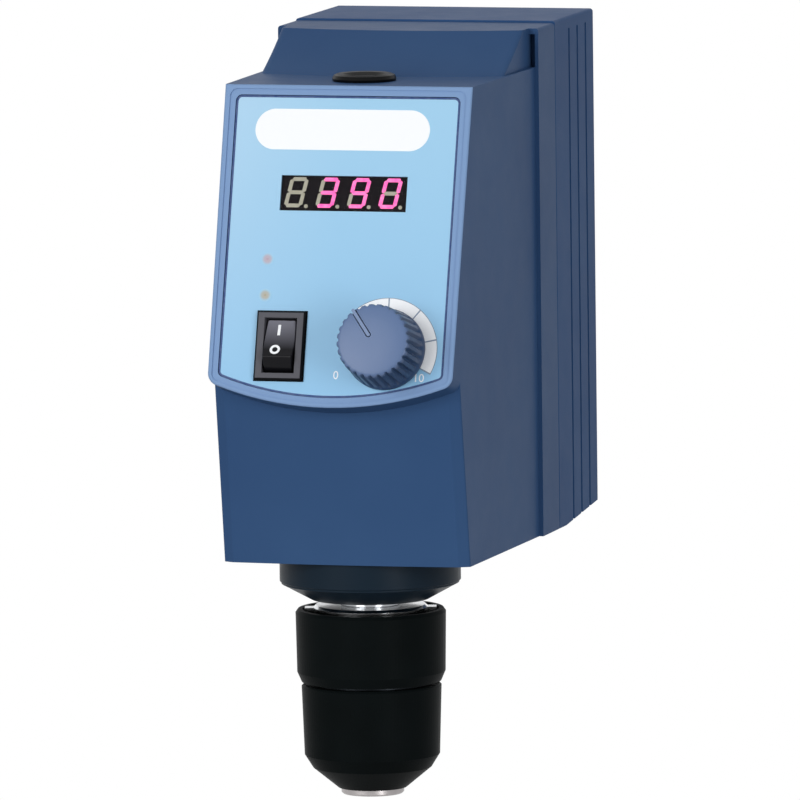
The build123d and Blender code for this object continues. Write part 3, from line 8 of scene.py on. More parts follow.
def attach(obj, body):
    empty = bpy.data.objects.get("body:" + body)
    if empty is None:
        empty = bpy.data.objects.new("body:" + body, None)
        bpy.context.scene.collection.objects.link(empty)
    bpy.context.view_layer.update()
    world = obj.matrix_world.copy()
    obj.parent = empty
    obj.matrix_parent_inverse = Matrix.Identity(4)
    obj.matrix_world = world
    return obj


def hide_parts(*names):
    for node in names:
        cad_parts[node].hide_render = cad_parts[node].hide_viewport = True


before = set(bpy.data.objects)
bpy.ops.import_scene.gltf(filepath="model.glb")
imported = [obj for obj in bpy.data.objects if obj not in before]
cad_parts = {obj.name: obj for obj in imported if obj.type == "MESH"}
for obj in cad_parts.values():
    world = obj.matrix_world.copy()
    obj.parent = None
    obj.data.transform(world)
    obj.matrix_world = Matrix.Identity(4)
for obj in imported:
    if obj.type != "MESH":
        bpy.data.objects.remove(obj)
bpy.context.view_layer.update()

# ---------------------------------------------------------------- housing shells
# Front housing and rear cover, injection moulded in ABS and painted a deep blue.
# The tool's spark-eroded surface leaves a fine grain that breaks up the highlights.
HOUSING_BLUE = "#38557C"
HOUSING_DARK = "#304B72"
# lighter blue of the panel's rim: painted reflection on the same blue paint
RIM_SHEEN_BLUE = "#7F9CC4"
MM = 0.001
TILT = math.radians(16.5)
PANEL_TOP = Vector((0.0, -17.8, 218.6))
PANEL_OUT = Vector((0.0, -math.cos(TILT), math.sin(TILT)))
PANEL_UP = Vector((0.0, math.sin(TILT), math.cos(TILT)))
RIM_BACK_MM = 0.6       # the lighter rim starts this far behind the panel plane
RIM_FADE_MM = 0.15
GRAIN_MM = 0.7          # the real grain is about 0.2 mm; drawn coarser so that it shows


def linear(hex_colour):
    """An sRGB hex colour as a linear RGBA tuple."""
    parts = [int(hex_colour[i:i + 2], 16) / 255 for i in (1, 3, 5)]
    return tuple(
        [c / 12.92 if c <= 0.04045 else ((c + 0.055) / 1.055) ** 2.4 for c in parts] + [1.0]
    )


def add(tree, kind, settings=None, sockets=None):
    """Adds one shader node; sockets maps an input's name or number to a value or a link."""
    made = tree.nodes.new("ShaderNode" + kind)
    for key, value in (settings or {}).items():
        setattr(made, key, value)
    for key, value in (sockets or {}).items():
        if isinstance(value, bpy.types.NodeSocket):
            tree.links.new(value, made.inputs[key])
        else:
            made.inputs[key].default_value = value
    return made


def new_material(name):
    """An empty node material with its output; returns the material and its tree."""
    made = bpy.data.materials.new(name)
    made.use_nodes = True
    made.node_tree.nodes.clear()
    return made, made.node_tree


def finish_with(tree, **sockets):
    """Adds the Principled shader and the output."""
    named = {key.replace("_", " "): value for key, value in sockets.items()}
    shader = add(tree, "BsdfPrincipled", None, named)
    add(tree, "OutputMaterial", None, {"Surface": shader.outputs[0]})


def object_point(tree):
    """The Object coordinate, in metres."""
    return add(tree, "TexCoord").outputs["Object"]


def noise(tree, point, size_mm, detail=2.0, rough=0.5):
    """A noise whose lumps are about size_mm across."""
    return add(
        tree,
        "TexNoise",
        None,
        {"Vector": point, "Scale": 1000 / size_mm, "Detail": detail, "Roughness": rough},
    ).outputs["Fac"]


def between(tree, factor, low, high):
    """Takes a 0 to 1 factor to the range low to high."""
    return add(tree, "MapRange", None, {0: factor, 3: low, 4: high}).outputs[0]


def mixed(tree, factor, first, second):
    """Mixes two colours."""
    made = add(tree, "Mix", {"data_type": "RGBA"}, {0: factor, 6: first, 7: second})
    return made.outputs[2]


def bumped(tree, height, distance_mm, strength=1.0):
    """A bump of the given height in millimetres."""
    sizes = {"Height": height, "Distance": distance_mm / 1000, "Strength": strength}
    return add(tree, "Bump", None, sizes).outputs[0]


def drifting(tree, point, colour, dark):
    """Two close shades that drift slowly over the surface."""
    drift = noise(tree, point, 55, 3.0)
    return mixed(tree, between(tree, drift, -0.3, 1.2), linear(colour), linear(dark))


def plastic_skin(tree, point, tint, grain_mm, roughness, grain_height, shine):
    """Finishes a moulded face: a fine grain, and gloss that handling has rubbed unevenly."""
    grain = noise(tree, point, grain_mm, 3.0, 0.6)
    rub = noise(tree, point, 9, 4.0, 0.6)
    finish_with(
        tree,
        Base_Color=tint,
        Roughness=between(tree, rub, roughness - 0.05, roughness + 0.07),
        Normal=bumped(tree, grain, grain_height),
        IOR=1.5,
        Specular_IOR_Level=shine,
    )


def moulded_plastic(
    name, colour, dark, grain_mm=GRAIN_MM, roughness=0.42, grain_height=0.03, shine=0.12
):
    """Moulded or painted plastic: even colour with a slow drift, and a fine grain."""
    made, tree = new_material(name)
    point = object_point(tree)
    tint = drifting(tree, point, colour, dark)
    plastic_skin(tree, point, tint, grain_mm, roughness, grain_height, shine)
    return made


def dress(material, *names):
    """Gives CAD nodes a material."""
    for name in names:
        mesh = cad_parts[name].data
        mesh.materials.clear()
        mesh.materials.append(material)


def graded_plastic(
    name, along, start, end, near, far, roughness=0.42, shine=0.12, grain_height=0.03
):
    """Plastic in two colours, changing between two distances along a direction.

    The distances are measured from the top of the control panel.
    """
    made, tree = new_material(name)
    point = object_point(tree)
    reach = add(
        tree,
        "VectorMath",
        {"operation": "DOT_PRODUCT"},
        {0: point, 1: tuple(along)},
    ).outputs["Value"]
    zero = along.dot(PANEL_TOP)
    share = add(
        tree, "MapRange", None, {0: reach, 1: (zero + start) * MM, 2: (zero + end) * MM}
    ).outputs[0]
    tint = mixed(tree, share, drifting(tree, point, *near), linear(far))
    plastic_skin(tree, point, tint, GRAIN_MM, roughness, grain_height, shine)
    return made


# the rim that frames the panel is what lies in front of a plane just behind the panel's own; its
# lighter blue is a painted reflection of the bright surroundings on the rim
painted_front = graded_plastic(
    "painted_abs",
    PANEL_OUT,
    -RIM_BACK_MM,
    RIM_FADE_MM - RIM_BACK_MM,
    (HOUSING_BLUE, HOUSING_DARK),
    RIM_SHEEN_BLUE,
    shine=0.03,
)
dress(painted_front, "front_housing")
dress(moulded_plastic("painted_abs_cover", "#36557F", "#2F4B75", shine=0.02), "rear_cover")

# ---------------------------------------------------------------- nose collar
# Turned and enamelled collar under the housing: darker blue, smoother than the shells,
# with the faint rings of the lathe under the paint.


def enamel(name, colour, dark, ring_mm=1.2):
    """Enamel over a turned face: rings round the spindle axis, low gloss."""
    made, tree = new_material(name)
    point = object_point(tree)
    rings = add(
        tree,
        "TexWave",
        {"wave_type": "RINGS", "rings_direction": "Z"},
        {"Vector": point, "Scale": 1000 / ring_mm / 20, "Distortion": 0.4, "Detail": 1.0},
    ).outputs["Fac"]
    peel = noise(tree, point, 2.5, 2.0)
    tint = mixed(tree, noise(tree, point, 30), linear(colour), linear(dark))
    height = add(tree, "Math", {"operation": "ADD"}, {0: rings, 1: peel}).outputs[0]
    finish_with(
        tree,
        Base_Color=tint,
        Roughness=between(tree, peel, 0.34, 0.46),
        Normal=bumped(tree, height, 0.012),
        IOR=1.52,
        Specular_IOR_Level=0.07,
    )
    return made


dress(enamel("collar_enamel", "#162531", "#101D28"), "nose_collar")

# ---------------------------------------------------------------- control panel film
# Printed polyester film laid in the recess: light blue, a little paler towards the top
# left, with a bare white name patch above the display and the printed speed scale.
FILM_W = -0.8           # the film's front face, in millimetres from the panel plane
FILM_FOOT_Z, FILM_HEAD_Z = 0.1266, 0.2166
FILM_LEFT_X = -0.036


def on_panel():
    """Takes panel millimetres (right, up the slope, outwards) to the row frame."""
    turned = Matrix(((1, 0, 0), PANEL_UP, PANEL_OUT)).transposed().to_4x4()
    return Matrix.Translation(PANEL_TOP * MM) @ turned @ Matrix.Scale(MM, 4)


def keep(name, shape, material, body, smooth=None):
    """Turns a bmesh in the row frame into a piece that rides on a body."""
    bmesh.ops.recalc_face_normals(shape, faces=shape.faces)
    mesh = bpy.data.meshes.new(name)
    shape.to_mesh(mesh)
    shape.free()
    mesh.materials.append(material)
    if smooth is not None:
        for face in mesh.polygons:
            face.use_smooth = True
        mesh.set_sharp_from_angle(angle=math.radians(smooth))
    piece = bpy.data.objects.new(name, mesh)
    bpy.context.scene.collection.objects.link(piece)
    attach(piece, body)
    return piece


def thicken(shape, faces, height):
    """Raises flat faces into a plate of the given height, upwards in local z."""
    raised = bmesh.ops.extrude_face_region(shape, geom=faces)
    lifted = [v for v in raised["geom"] if isinstance(v, bmesh.types.BMVert)]
    bmesh.ops.translate(shape, verts=lifted, vec=(0, 0, height))


def film_print(name, colour, shine=0.2):
    """Screen-printed ink: flat colour with a faint mottle and a satin face."""
    made, tree = new_material(name)
    point = object_point(tree)
    mottle = noise(tree, point, 1.5, 2.0)
    tint = mixed(tree, between(tree, mottle, 0.0, 0.12), linear(colour), linear("#FFFFFF"))
    finish_with(
        tree,
        Base_Color=tint,
        Roughness=between(tree, mottle, 0.31, 0.39),
        Normal=bumped(tree, noise(tree, point, 0.5, 2.0), 0.006),
        IOR=1.5,
        Specular_IOR_Level=shine,
    )
    return made


def panel_film():
    """The film's own material: two blues that drift across its height and width."""
    made, tree = new_material("printed_polyester_film")
    point = object_point(tree)
    parts = add(tree, "SeparateXYZ", None, {0: point})
    rise = add(
        tree, "MapRange", None, {0: parts.outputs["Z"], 1: FILM_FOOT_Z, 2: FILM_HEAD_Z}
    ).outputs[0]
    tint = mixed(tree, rise, linear("#8DBFE2"), linear("#9DCAE6"))
    corner = add(
        tree,
        "MapRange",
        None,
        {0: parts.outputs["X"], 1: FILM_LEFT_X, 2: 0.0, 3: 0.35, 4: 0.0},
    ).outputs[0]
    pale = add(tree, "Math", {"operation": "MULTIPLY"}, {0: corner, 1: rise}).outputs[0]
    tint = mixed(tree, pale, tint, linear("#C2DBEE"))
    grain = noise(tree, point, 0.6, 3.0)
    finish_with(
        tree,
        Base_Color=tint,
        Roughness=between(tree, grain, 0.3, 0.38),
        Normal=bumped(tree, grain, 0.008),
        IOR=1.5,
        Specular_IOR_Level=0.2,
    )
    return made


dress(panel_film(), "front_panel")

# dark blue line round the film's edge, taken from the film's own outline: painted shadow that
# the rim casts on the film
BORDER_W = 0.6
BORDER_T = 0.05
SAME_POINT = 0.00001
OUTER_U = 28.0          # the line runs outside these; inside them lie the film's openings
OUTER_HEAD_V, OUTER_FOOT_V = -10.0, -91.2
border = bmesh.new()
border.from_mesh(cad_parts["front_panel"].data)
bmesh.ops.remove_doubles(border, verts=border.verts, dist=SAME_POINT)
border.normal_update()
film_face = (PANEL_TOP + PANEL_OUT * FILM_W).dot(PANEL_OUT) * MM
back_faces = [
    f
    for f in border.faces
    if f.normal.dot(PANEL_OUT) < 0.99
    or abs(f.calc_center_median().dot(PANEL_OUT) - film_face) > 5 * SAME_POINT
]
bmesh.ops.delete(border, geom=back_faces, context="FACES")
framed = bmesh.ops.inset_region(
    border,
    faces=border.faces[:],
    use_boundary=True,
    use_even_offset=True,
    thickness=BORDER_W * MM,
)
kept_faces = set()
for face in framed["faces"]:
    spot = face.calc_center_median() / MM - PANEL_TOP
    u, v = spot.x, spot.dot(PANEL_UP)
    if abs(u) > OUTER_U or v > OUTER_HEAD_V or v < OUTER_FOOT_V:
        kept_faces.add(face)
inner_faces = [f for f in border.faces if f not in kept_faces]
bmesh.ops.delete(border, geom=inner_faces, context="FACES")
bmesh.ops.remove_doubles(border, verts=border.verts, dist=SAME_POINT)
raised = bmesh.ops.extrude_face_region(border, geom=border.faces[:])
bmesh.ops.translate(
    border,
    verts=[v for v in raised["geom"] if isinstance(v, bmesh.types.BMVert)],
    vec=PANEL_OUT * BORDER_T * MM,
)
# painted shadow along the rim's edge, drawn as a dark blue ink strip
rim_shadow_ink = film_print("rim_shadow_ink", "#1E427C", shine=0.05)
keep("film_border", border, rim_shadow_ink, "housing")

# bare white name patch with round ends
white_ink = film_print("white_ink", "#F4F6F8")

PATCH_U, PATCH_V = -1.2, -13.5
PATCH_W, PATCH_H = 54.8, 12.6
PRINT_T = 0.06
patch = bmesh.new()
bmesh.ops.create_circle(patch, cap_ends=True, segments=64, radius=PATCH_H / 2)
for vert in patch.verts:
    vert.co.x += math.copysign((PATCH_W - PATCH_H) / 2, vert.co.x)
thicken(patch, patch.faces[:], PRINT_T)
bmesh.ops.translate(patch, verts=patch.verts, vec=(PATCH_U, PATCH_V, FILM_W))
bmesh.ops.transform(patch, matrix=on_panel(), verts=patch.verts)
keep("name_patch", patch, white_ink, "housing")

# speed scale: six white blocks on a fine dark ground, with plain numbers at its ends
DIAL_U, DIAL_V = 16.9, -80.9
SCALE_IN, SCALE_OUT = 12.0, 15.8
SCALE_HALF = 116.5      # degrees each way from straight up
SCALE_FULL = -38.0      # the band widens from its start to full width here
SCALE_BLOCKS = 6
SCALE_GAP = 1.7         # degrees between blocks
GROUND_EDGE = 0.22      # the ground shows this far round the blocks
GROUND_SPARE = 0.8      # and this many degrees past each end
START_WIDTH = 0.12      # share of its full width that the band has at its start


def sector(shape, from_deg, sweep_deg, inner, outer):
    """A flat piece of a ring, clockwise from an angle off straight up."""
    start = math.radians(90 - from_deg)
    ray = Vector((math.cos(start), math.sin(start), 0))
    ends = [shape.verts.new(ray * inner), shape.verts.new(ray * outer)]
    edge = shape.edges.new(ends)
    bmesh.ops.spin(
        shape,
        geom=ends + [edge],
        cent=(0, 0, 0),
        axis=(0, 0, -1),
        angle=math.radians(sweep_deg),
        steps=max(8, round(sweep_deg / 2.5)),
    )


def widen_with_speed(shape, spare):
    """Draws the band's outer edge in towards its start, where it is a fine line."""
    for vert in shape.verts:
        turned = math.degrees(math.atan2(vert.co.x, vert.co.y))
        reach = vert.co.length
        if turned < SCALE_FULL and reach > SCALE_IN + 0.5:
            share = max(0.0, (turned + SCALE_HALF) / (SCALE_FULL + SCALE_HALF))
            width = (SCALE_OUT - SCALE_IN) * (START_WIDTH + (1 - START_WIDTH) * share)
            wanted = SCALE_IN + spare + width
            vert.co *= wanted / reach


def print_on_film(name, shape, material, lift=0.0):
    """Raises a flat shape round the dial to the thickness of the ink and keeps it."""
    bmesh.ops.remove_doubles(shape, verts=shape.verts, dist=0.001)
    thicken(shape, shape.faces[:], PRINT_T)
    bmesh.ops.translate(shape, verts=shape.verts, vec=(DIAL_U, DIAL_V, FILM_W + lift))
    bmesh.ops.transform(shape, matrix=on_panel(), verts=shape.verts)
    return keep(name, shape, material, "housing")


ground = bmesh.new()
sector(
    ground,
    -SCALE_HALF - GROUND_SPARE,
    2 * (SCALE_HALF + GROUND_SPARE),
    SCALE_IN - GROUND_EDGE,
    SCALE_OUT + GROUND_EDGE,
)
widen_with_speed(ground, GROUND_EDGE)
print_on_film("scale_ground", ground, film_print("grey_ink", "#76899F"))

scale = bmesh.new()
step = 2 * SCALE_HALF / SCALE_BLOCKS
for block in range(SCALE_BLOCKS):
    start = -SCALE_HALF + block * step + SCALE_GAP / 2
    sector(scale, start, step - SCALE_GAP, SCALE_IN, SCALE_OUT)
widen_with_speed(scale, 0.0)
print_on_film("speed_scale", scale, white_ink, PRINT_T / 2)


NUMBER_H = 2.5
CAPITAL_SHARE = 0.7     # a figure's height over the size of its font


def printed_number(name, text, u, v):
    """A plain number printed on the film."""
    curve = bpy.data.curves.new(name, "FONT")
    curve.body = text
    curve.size = NUMBER_H / CAPITAL_SHARE
    curve.align_x = "CENTER"
    curve.align_y = "CENTER"
    curve.extrude = PRINT_T / 2
    curve.resolution_u = 4
    writer = bpy.data.objects.new(name + "_text", curve)
    bpy.context.scene.collection.objects.link(writer)
    bpy.context.view_layer.update()
    shape = bmesh.new()
    shape.from_mesh(writer.to_mesh())
    writer.to_mesh_clear()
    bpy.data.objects.remove(writer)
    bmesh.ops.translate(shape, verts=shape.verts, vec=(u, v, FILM_W + PRINT_T / 2))
    bmesh.ops.transform(shape, matrix=on_panel(), verts=shape.verts)
    keep(name, shape, white_ink, "housing")


printed_number("number_low", "0", 1.7, -89.0)
printed_number("number_high", "10", 27.6, -89.4)

# ---------------------------------------------------------------- speed display
# Four-digit LED display behind a dark window: the first digit is off and shows as a dull
# beige, the others glow pink.  The digits are moulded light guides in a black face.
DISPLAY_U, DISPLAY_V = 0.1, -32.75
DIGIT_PITCH = 9.85
DIGIT_H, DIGIT_W = 9.3, 5.7
BAR = 1.15
BAR_GAP = 0.16          # half the gap where two bars meet
SLANT = 0.2
POINT_U, POINT_V, POINT_R = 3.3, -4.25, 0.6
FACE_W = -1.7           # the module's face, in millimetres from the panel plane
DIGIT_T = 0.15
ALL_BARS = "abcdefg"
LIT = {"3": "abcdg", "9": "abcdfg", "0": "abcdef"}
SHOWN = ((1, "3"), (2, "9"), (3, "0"))

half_h, half_w = (DIGIT_H - BAR) / 2, (DIGIT_W - BAR) / 2
BAR_PLACES = {
    "a": (0, half_h, False),
    "b": (half_w, half_h / 2, True),
    "c": (half_w, -half_h / 2, True),
    "d": (0, -half_h, False),
    "e": (-half_w, -half_h / 2, True),
    "f": (-half_w, half_h / 2, True),
    "g": (0, 0, False),
}


def add_bar(shape, u, v, length, upright):
    """One segment: a flat bar with pointed ends, its middle at (u, v)."""
    corner_r = BAR / math.sqrt(3)
    quarter = Matrix.Rotation(math.radians(90), 4, "Z")
    made = bmesh.ops.create_circle(
        shape, cap_ends=True, segments=6, radius=corner_r, matrix=quarter
    )
    verts = made["verts"]
    for vert in verts:
        vert.co.x += math.copysign(length / 2 - corner_r * 0.86 - BAR_GAP, vert.co.x)
    if upright:
        bmesh.ops.transform(shape, verts=verts, matrix=quarter)
    bmesh.ops.translate(shape, verts=verts, vec=(u, v, 0))
    return verts


def digit_bars(shape, digit, letters):
    """Draws the named segments of one digit, leaning to the right."""
    centre = DISPLAY_U + (digit - 1.5) * DIGIT_PITCH
    for letter in letters:
        u, v, upright = BAR_PLACES[letter]
        length = half_h if upright else 2 * half_w
        for vert in add_bar(shape, u, v, length, upright):
            vert.co.x += centre + vert.co.y * SLANT
            vert.co.y += DISPLAY_V


def point_dot(shape, digit):
    """The decimal point at the foot of a digit."""
    centre = DISPLAY_U + (digit - 1.5) * DIGIT_PITCH
    made = bmesh.ops.create_circle(shape, cap_ends=True, segments=16, radius=POINT_R)
    foot = (centre + POINT_U, DISPLAY_V + POINT_V, 0)
    bmesh.ops.translate(shape, verts=made["verts"], vec=foot)


def set_on_display(shape):
    """Raises flat shapes and sets them on the module's face."""
    thicken(shape, shape.faces[:], DIGIT_T)
    bmesh.ops.translate(shape, verts=shape.verts, vec=(0, 0, FACE_W))
    bmesh.ops.transform(shape, matrix=on_panel(), verts=shape.verts)


def light_guide(name, colour, glow):
    """Diffusing resin in a display segment, lit from behind or dark."""
    made, tree = new_material(name)
    point = object_point(tree)
    cells = noise(tree, point, 1.2, 1.0)
    tint = mixed(tree, between(tree, cells, 0.0, 0.25), linear(colour), linear("#FFFFFF"))
    finish_with(
        tree,
        Base_Color=tint,
        Roughness=between(tree, cells, 0.35, 0.5),
        Emission_Color=tint,
        Emission_Strength=glow,
        IOR=1.5,
        Specular_IOR_Level=0.1,
    )
    return made


lit = bmesh.new()
for digit, figure in SHOWN:
    digit_bars(lit, digit, LIT[figure])
set_on_display(lit)
segment_lit = light_guide("segment_lit", "#FF3CA8", 0.5)
keep("digits_lit", lit, segment_lit, "housing")

dull = bmesh.new()
digit_bars(dull, 0, ALL_BARS)
for digit in range(4):
    point_dot(dull, digit)
for digit, figure in SHOWN:
    digit_bars(dull, digit, sorted(set(ALL_BARS) - set(LIT[figure])))
set_on_display(dull)
segment_dark = light_guide("segment_dark", "#A9A48C", 0.0)
keep("digits_unlit", dull, segment_dark, "housing")

dress(
    moulded_plastic("display_face_black", "#141014", "#0C0A0D", 0.4, 0.5, shine=0.05),
    "display_module",
)


def clear_window():
    """The dark clear window: mostly see-through, with a soft reflection."""
    made, tree = new_material("tinted_acrylic")
    point = object_point(tree)
    smear = noise(tree, point, 6, 3.0)
    smoke = mixed(tree, between(tree, smear, 0, 0.2), linear("#1B0E16"), linear("#24141E"))
    finish_with(
        tree,
        Base_Color=smoke,
        Roughness=between(tree, smear, 0.06, 0.12),
        Alpha=0.06,
        IOR=1.49,
        Specular_IOR_Level=0.1,
    )
    return made


dress(clear_window(), "display_window")

# ---------------------------------------------------------------- lamps
# Two small lamps behind the film, both off.  Their lenses are cast in frosted resin, one a
# dull rose and one a dull amber.


def frosted_lens(name, colour, core):
    """Frosted resin lens, with its coloured core showing through."""
    made, tree = new_material(name)
    point = object_point(tree)
    cloud = noise(tree, point, 1.0, 2.0)
    finish_with(
        tree,
        Base_Color=mixed(tree, cloud, linear(colour), linear(core)),
        Roughness=between(tree, cloud, 0.3, 0.45),
        Normal=bumped(tree, noise(tree, point, 0.3, 2.0), 0.01),
        IOR=1.5,
        Specular_IOR_Level=0.3,
    )
    return made


dress(frosted_lens("lens_rose", "#B8A8B6", "#B09AAA"), "overload_lamp")
dress(frosted_lens("lens_amber", "#B0AC9C", "#A8A088"), "power_lamp")

# each lamp shows through a round window in the film whose tint fades into the blue
LAMP_U = -22.1
LAMP_WINDOW_R = 2.05
LAMP_WINDOW_T = 0.06
LAMP_CORE_R = 0.8


def lamp_window(name, v, rim, core):
    """A tinted round window over a lamp, clear in the middle and blue at its edge."""
    made, tree = new_material(name + "_tint")
    point = object_point(tree)
    middle = on_panel() @ Vector((LAMP_U, v, FILM_W))
    away = add(
        tree, "VectorMath", {"operation": "DISTANCE"}, {0: point, 1: tuple(middle)}
    ).outputs["Value"]
    fade = add(
        tree,
        "MapRange",
        {"interpolation_type": "SMOOTHSTEP"},
        {0: away, 1: LAMP_CORE_R * MM, 2: (LAMP_WINDOW_R - 0.1) * MM},
    ).outputs[0]
    cloud = noise(tree, point, 1.0, 2.0)
    stain = mixed(tree, cloud, linear(core), linear(rim))
    tint = mixed(tree, fade, stain, linear("#9CC8E4"))
    finish_with(
        tree,
        Base_Color=tint,
        Roughness=between(tree, cloud, 0.3, 0.4),
        IOR=1.5,
        Specular_IOR_Level=0.2,
    )
    shape = bmesh.new()
    bmesh.ops.create_circle(shape, cap_ends=True, segments=40, radius=LAMP_WINDOW_R)
    thicken(shape, shape.faces[:], LAMP_WINDOW_T)
    bmesh.ops.translate(shape, verts=shape.verts, vec=(LAMP_U, v, FILM_W))
    bmesh.ops.transform(shape, matrix=on_panel(), verts=shape.verts)
    keep(name, shape, made, "housing", 40)


lamp_window("overload_window", -53.6, "#B4AEBA", "#B6A8B4")
lamp_window("power_window", -64.7, "#ACB0AE", "#B0AC98")

# ---------------------------------------------------------------- power switch
# Rocker switch moulded in black nylon and snapped into the panel from the front.  Its frame
# is dull, and its glossy rocker carries a printed white bar and ring.
SWITCH_U, SWITCH_V = -16.2, -80.3
SWITCH_W, SWITCH_H = 15.0, 21.0
GASKET_REACH, GASKET_LAP, GASKET_T = 0.35, 0.3, 0.3
BEZEL_FACE_W, BEZEL_FACE_H = 14.0, 20.0
BEZEL_FADE = 0.1


def bezel_nylon():
    """Nylon of the switch's frame: a dull grey face, with painted shade darkening its outer
    edges to black where they meet the gap round the frame.
    """
    made, tree = new_material("switch_nylon")
    point = object_point(tree)
    middle = on_panel() @ Vector((SWITCH_U, SWITCH_V, 0))
    offset = add(
        tree, "VectorMath", {"operation": "SUBTRACT"}, {0: point, 1: tuple(middle)}
    ).outputs[0]
    outside = []
    for axis, width in (((1, 0, 0), BEZEL_FACE_W), (tuple(PANEL_UP), BEZEL_FACE_H)):
        along = add(
            tree, "VectorMath", {"operation": "DOT_PRODUCT"}, {0: offset, 1: axis}
        ).outputs["Value"]
        away = add(tree, "Math", {"operation": "ABSOLUTE"}, {0: along}).outputs[0]
        start, end = width / 2 * MM, (width / 2 + BEZEL_FADE) * MM
        outside.append(add(tree, "MapRange", None, {0: away, 1: start, 2: end}).outputs[0])
    edge = add(
        tree, "Math", {"operation": "MAXIMUM"}, {0: outside[0], 1: outside[1]}
    ).outputs[0]
    grain = noise(tree, point, 0.5, 3.0, 0.6)
    finish_with(
        tree,
        Base_Color=mixed(tree, edge, linear("#55555B"), linear("#08080A")),
        Roughness=between(tree, grain, 0.36, 0.48),
        Normal=bumped(tree, grain, 0.01),
        IOR=1.5,
        Specular_IOR_Level=0.1,
    )
    return made


dress(bezel_nylon(), "switch_body")

# black gasket ring round the frame; its black also stands in for the shade in the gap round the
# frame
gasket = bmesh.new()
bmesh.ops.create_grid(
    gasket,
    x_segments=1,
    y_segments=1,
    size=0.5,
    matrix=Matrix.Diagonal((SWITCH_W + 2 * GASKET_REACH, SWITCH_H + 2 * GASKET_REACH, 1, 1)),
)
outer = gasket.faces[:]
bmesh.ops.inset_region(
    gasket,
    faces=outer,
    use_boundary=True,
    use_even_offset=True,
    thickness=GASKET_REACH + GASKET_LAP,
)
bmesh.ops.delete(gasket, geom=outer, context="FACES_ONLY")
thicken(gasket, gasket.faces[:], GASKET_T)
bmesh.ops.translate(gasket, verts=gasket.verts, vec=(SWITCH_U, SWITCH_V, FILM_W))
bmesh.ops.transform(gasket, matrix=on_panel(), verts=gasket.verts)
gasket_black = moulded_plastic("gasket_black", "#0B0C10", "#07080B", 0.5, 0.5, 0.01, 0.04)
keep("switch_gasket", gasket, gasket_black, "housing")

PIVOT_W = -2.4
REST_SWING = math.radians(10)
ROCKER_END_R = 8.2
# the rocker's face in side view, from its pressed upper end to the lower edge that stands
# out, then round the lower end and back under: (along the face, out from the pivot)
FACE_TOP, FACE_EDGE = (7.35, 3.2), (-4.7, 4.75)
FACE_DIP = 0.55
ROCKER_FOOT = -3.2
ROCKER_HALF_W = (4.15, 4.75, 4.3)    # at the upper end, the middle and the lower end
MARK_T = 0.08
BAR_MARK = (-0.5, 4.3, 0.85, 3.4)
RING_MARK = (-0.9, -2.3, 0.85, 1.6)


def face_height(along):
    """Height of the rocker's hollow face above its pivot."""
    (top_x, top_y), (low_x, low_y) = FACE_TOP, FACE_EDGE
    share = (along - low_x) / (top_x - low_x)
    dip = FACE_DIP * 4 * share * (1 - share)
    return low_y + (top_y - low_y) * share - dip


def from_rocker():
    """Takes the resting rocker's millimetres (across, along, out) to the row frame."""
    swung = Matrix.Rotation(-REST_SWING, 4, "X")
    return on_panel() @ Matrix.Translation((SWITCH_U, SWITCH_V, PIVOT_W)) @ swung


def rocker_width(along):
    """Half-width of the rocker, fullest at its middle."""
    top, middle, low = ROCKER_HALF_W
    end = top if along > 0 else low
    return middle - (middle - end) * (along / ROCKER_END_R) ** 2


rocker = bmesh.new()
FACE_STEPS = 14
profile = []
for index in range(FACE_STEPS + 1):
    along = FACE_TOP[0] + (FACE_EDGE[0] - FACE_TOP[0]) * index / FACE_STEPS
    profile.append((along, face_height(along)))
profile += [(-6.6, 3.3), (-7.7, 1.6), (-8.1, 0.0), (-7.5, ROCKER_FOOT)]
profile += [(7.5, ROCKER_FOOT), (8.1, 0.0), (7.9, 2.0)]
outline = [rocker.verts.new((-1.0, along, out)) for along, out in profile]
side = rocker.faces.new(outline)
across = bmesh.ops.extrude_face_region(rocker, geom=[side])
bmesh.ops.translate(
    rocker,
    verts=[v for v in across["geom"] if isinstance(v, bmesh.types.BMVert)],
    vec=(2.0, 0, 0),
)
for vert in rocker.verts:
    vert.co.x *= rocker_width(vert.co.y)
sides = [e for e in rocker.edges if abs(e.verts[0].co.x + e.verts[1].co.x) > 7]
bmesh.ops.bevel(
    rocker, geom=sides, offset=0.35, segments=3, affect="EDGES", profile=0.5, material=-1
)
lower_edge = [
    e
    for e in rocker.edges
    if all((v.co.yz - Vector(FACE_EDGE)).length < 0.02 for v in e.verts)
]
bmesh.ops.bevel(
    rocker, geom=lower_edge, offset=0.3, segments=3, affect="EDGES", profile=0.5, material=-1
)
bmesh.ops.transform(rocker, matrix=from_rocker(), verts=rocker.verts)
# painted highlight: the pressed upper end is grey where the light reflects, black below the ring
rocker_nylon_painted_highlight = graded_plastic(
    "rocker_nylon_painted_highlight",
    PANEL_UP,
    SWITCH_V - 1.5,
    SWITCH_V + 8.0,
    ("#131317", "#0C0C0F"),
    "#7A7A84",
    roughness=0.3,
    shine=0.12,
    grain_height=0.008,
)
rocker_piece = keep("rocker_shell", rocker, rocker_nylon_painted_highlight, "power_rocker", 28)
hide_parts("switch_rocker")

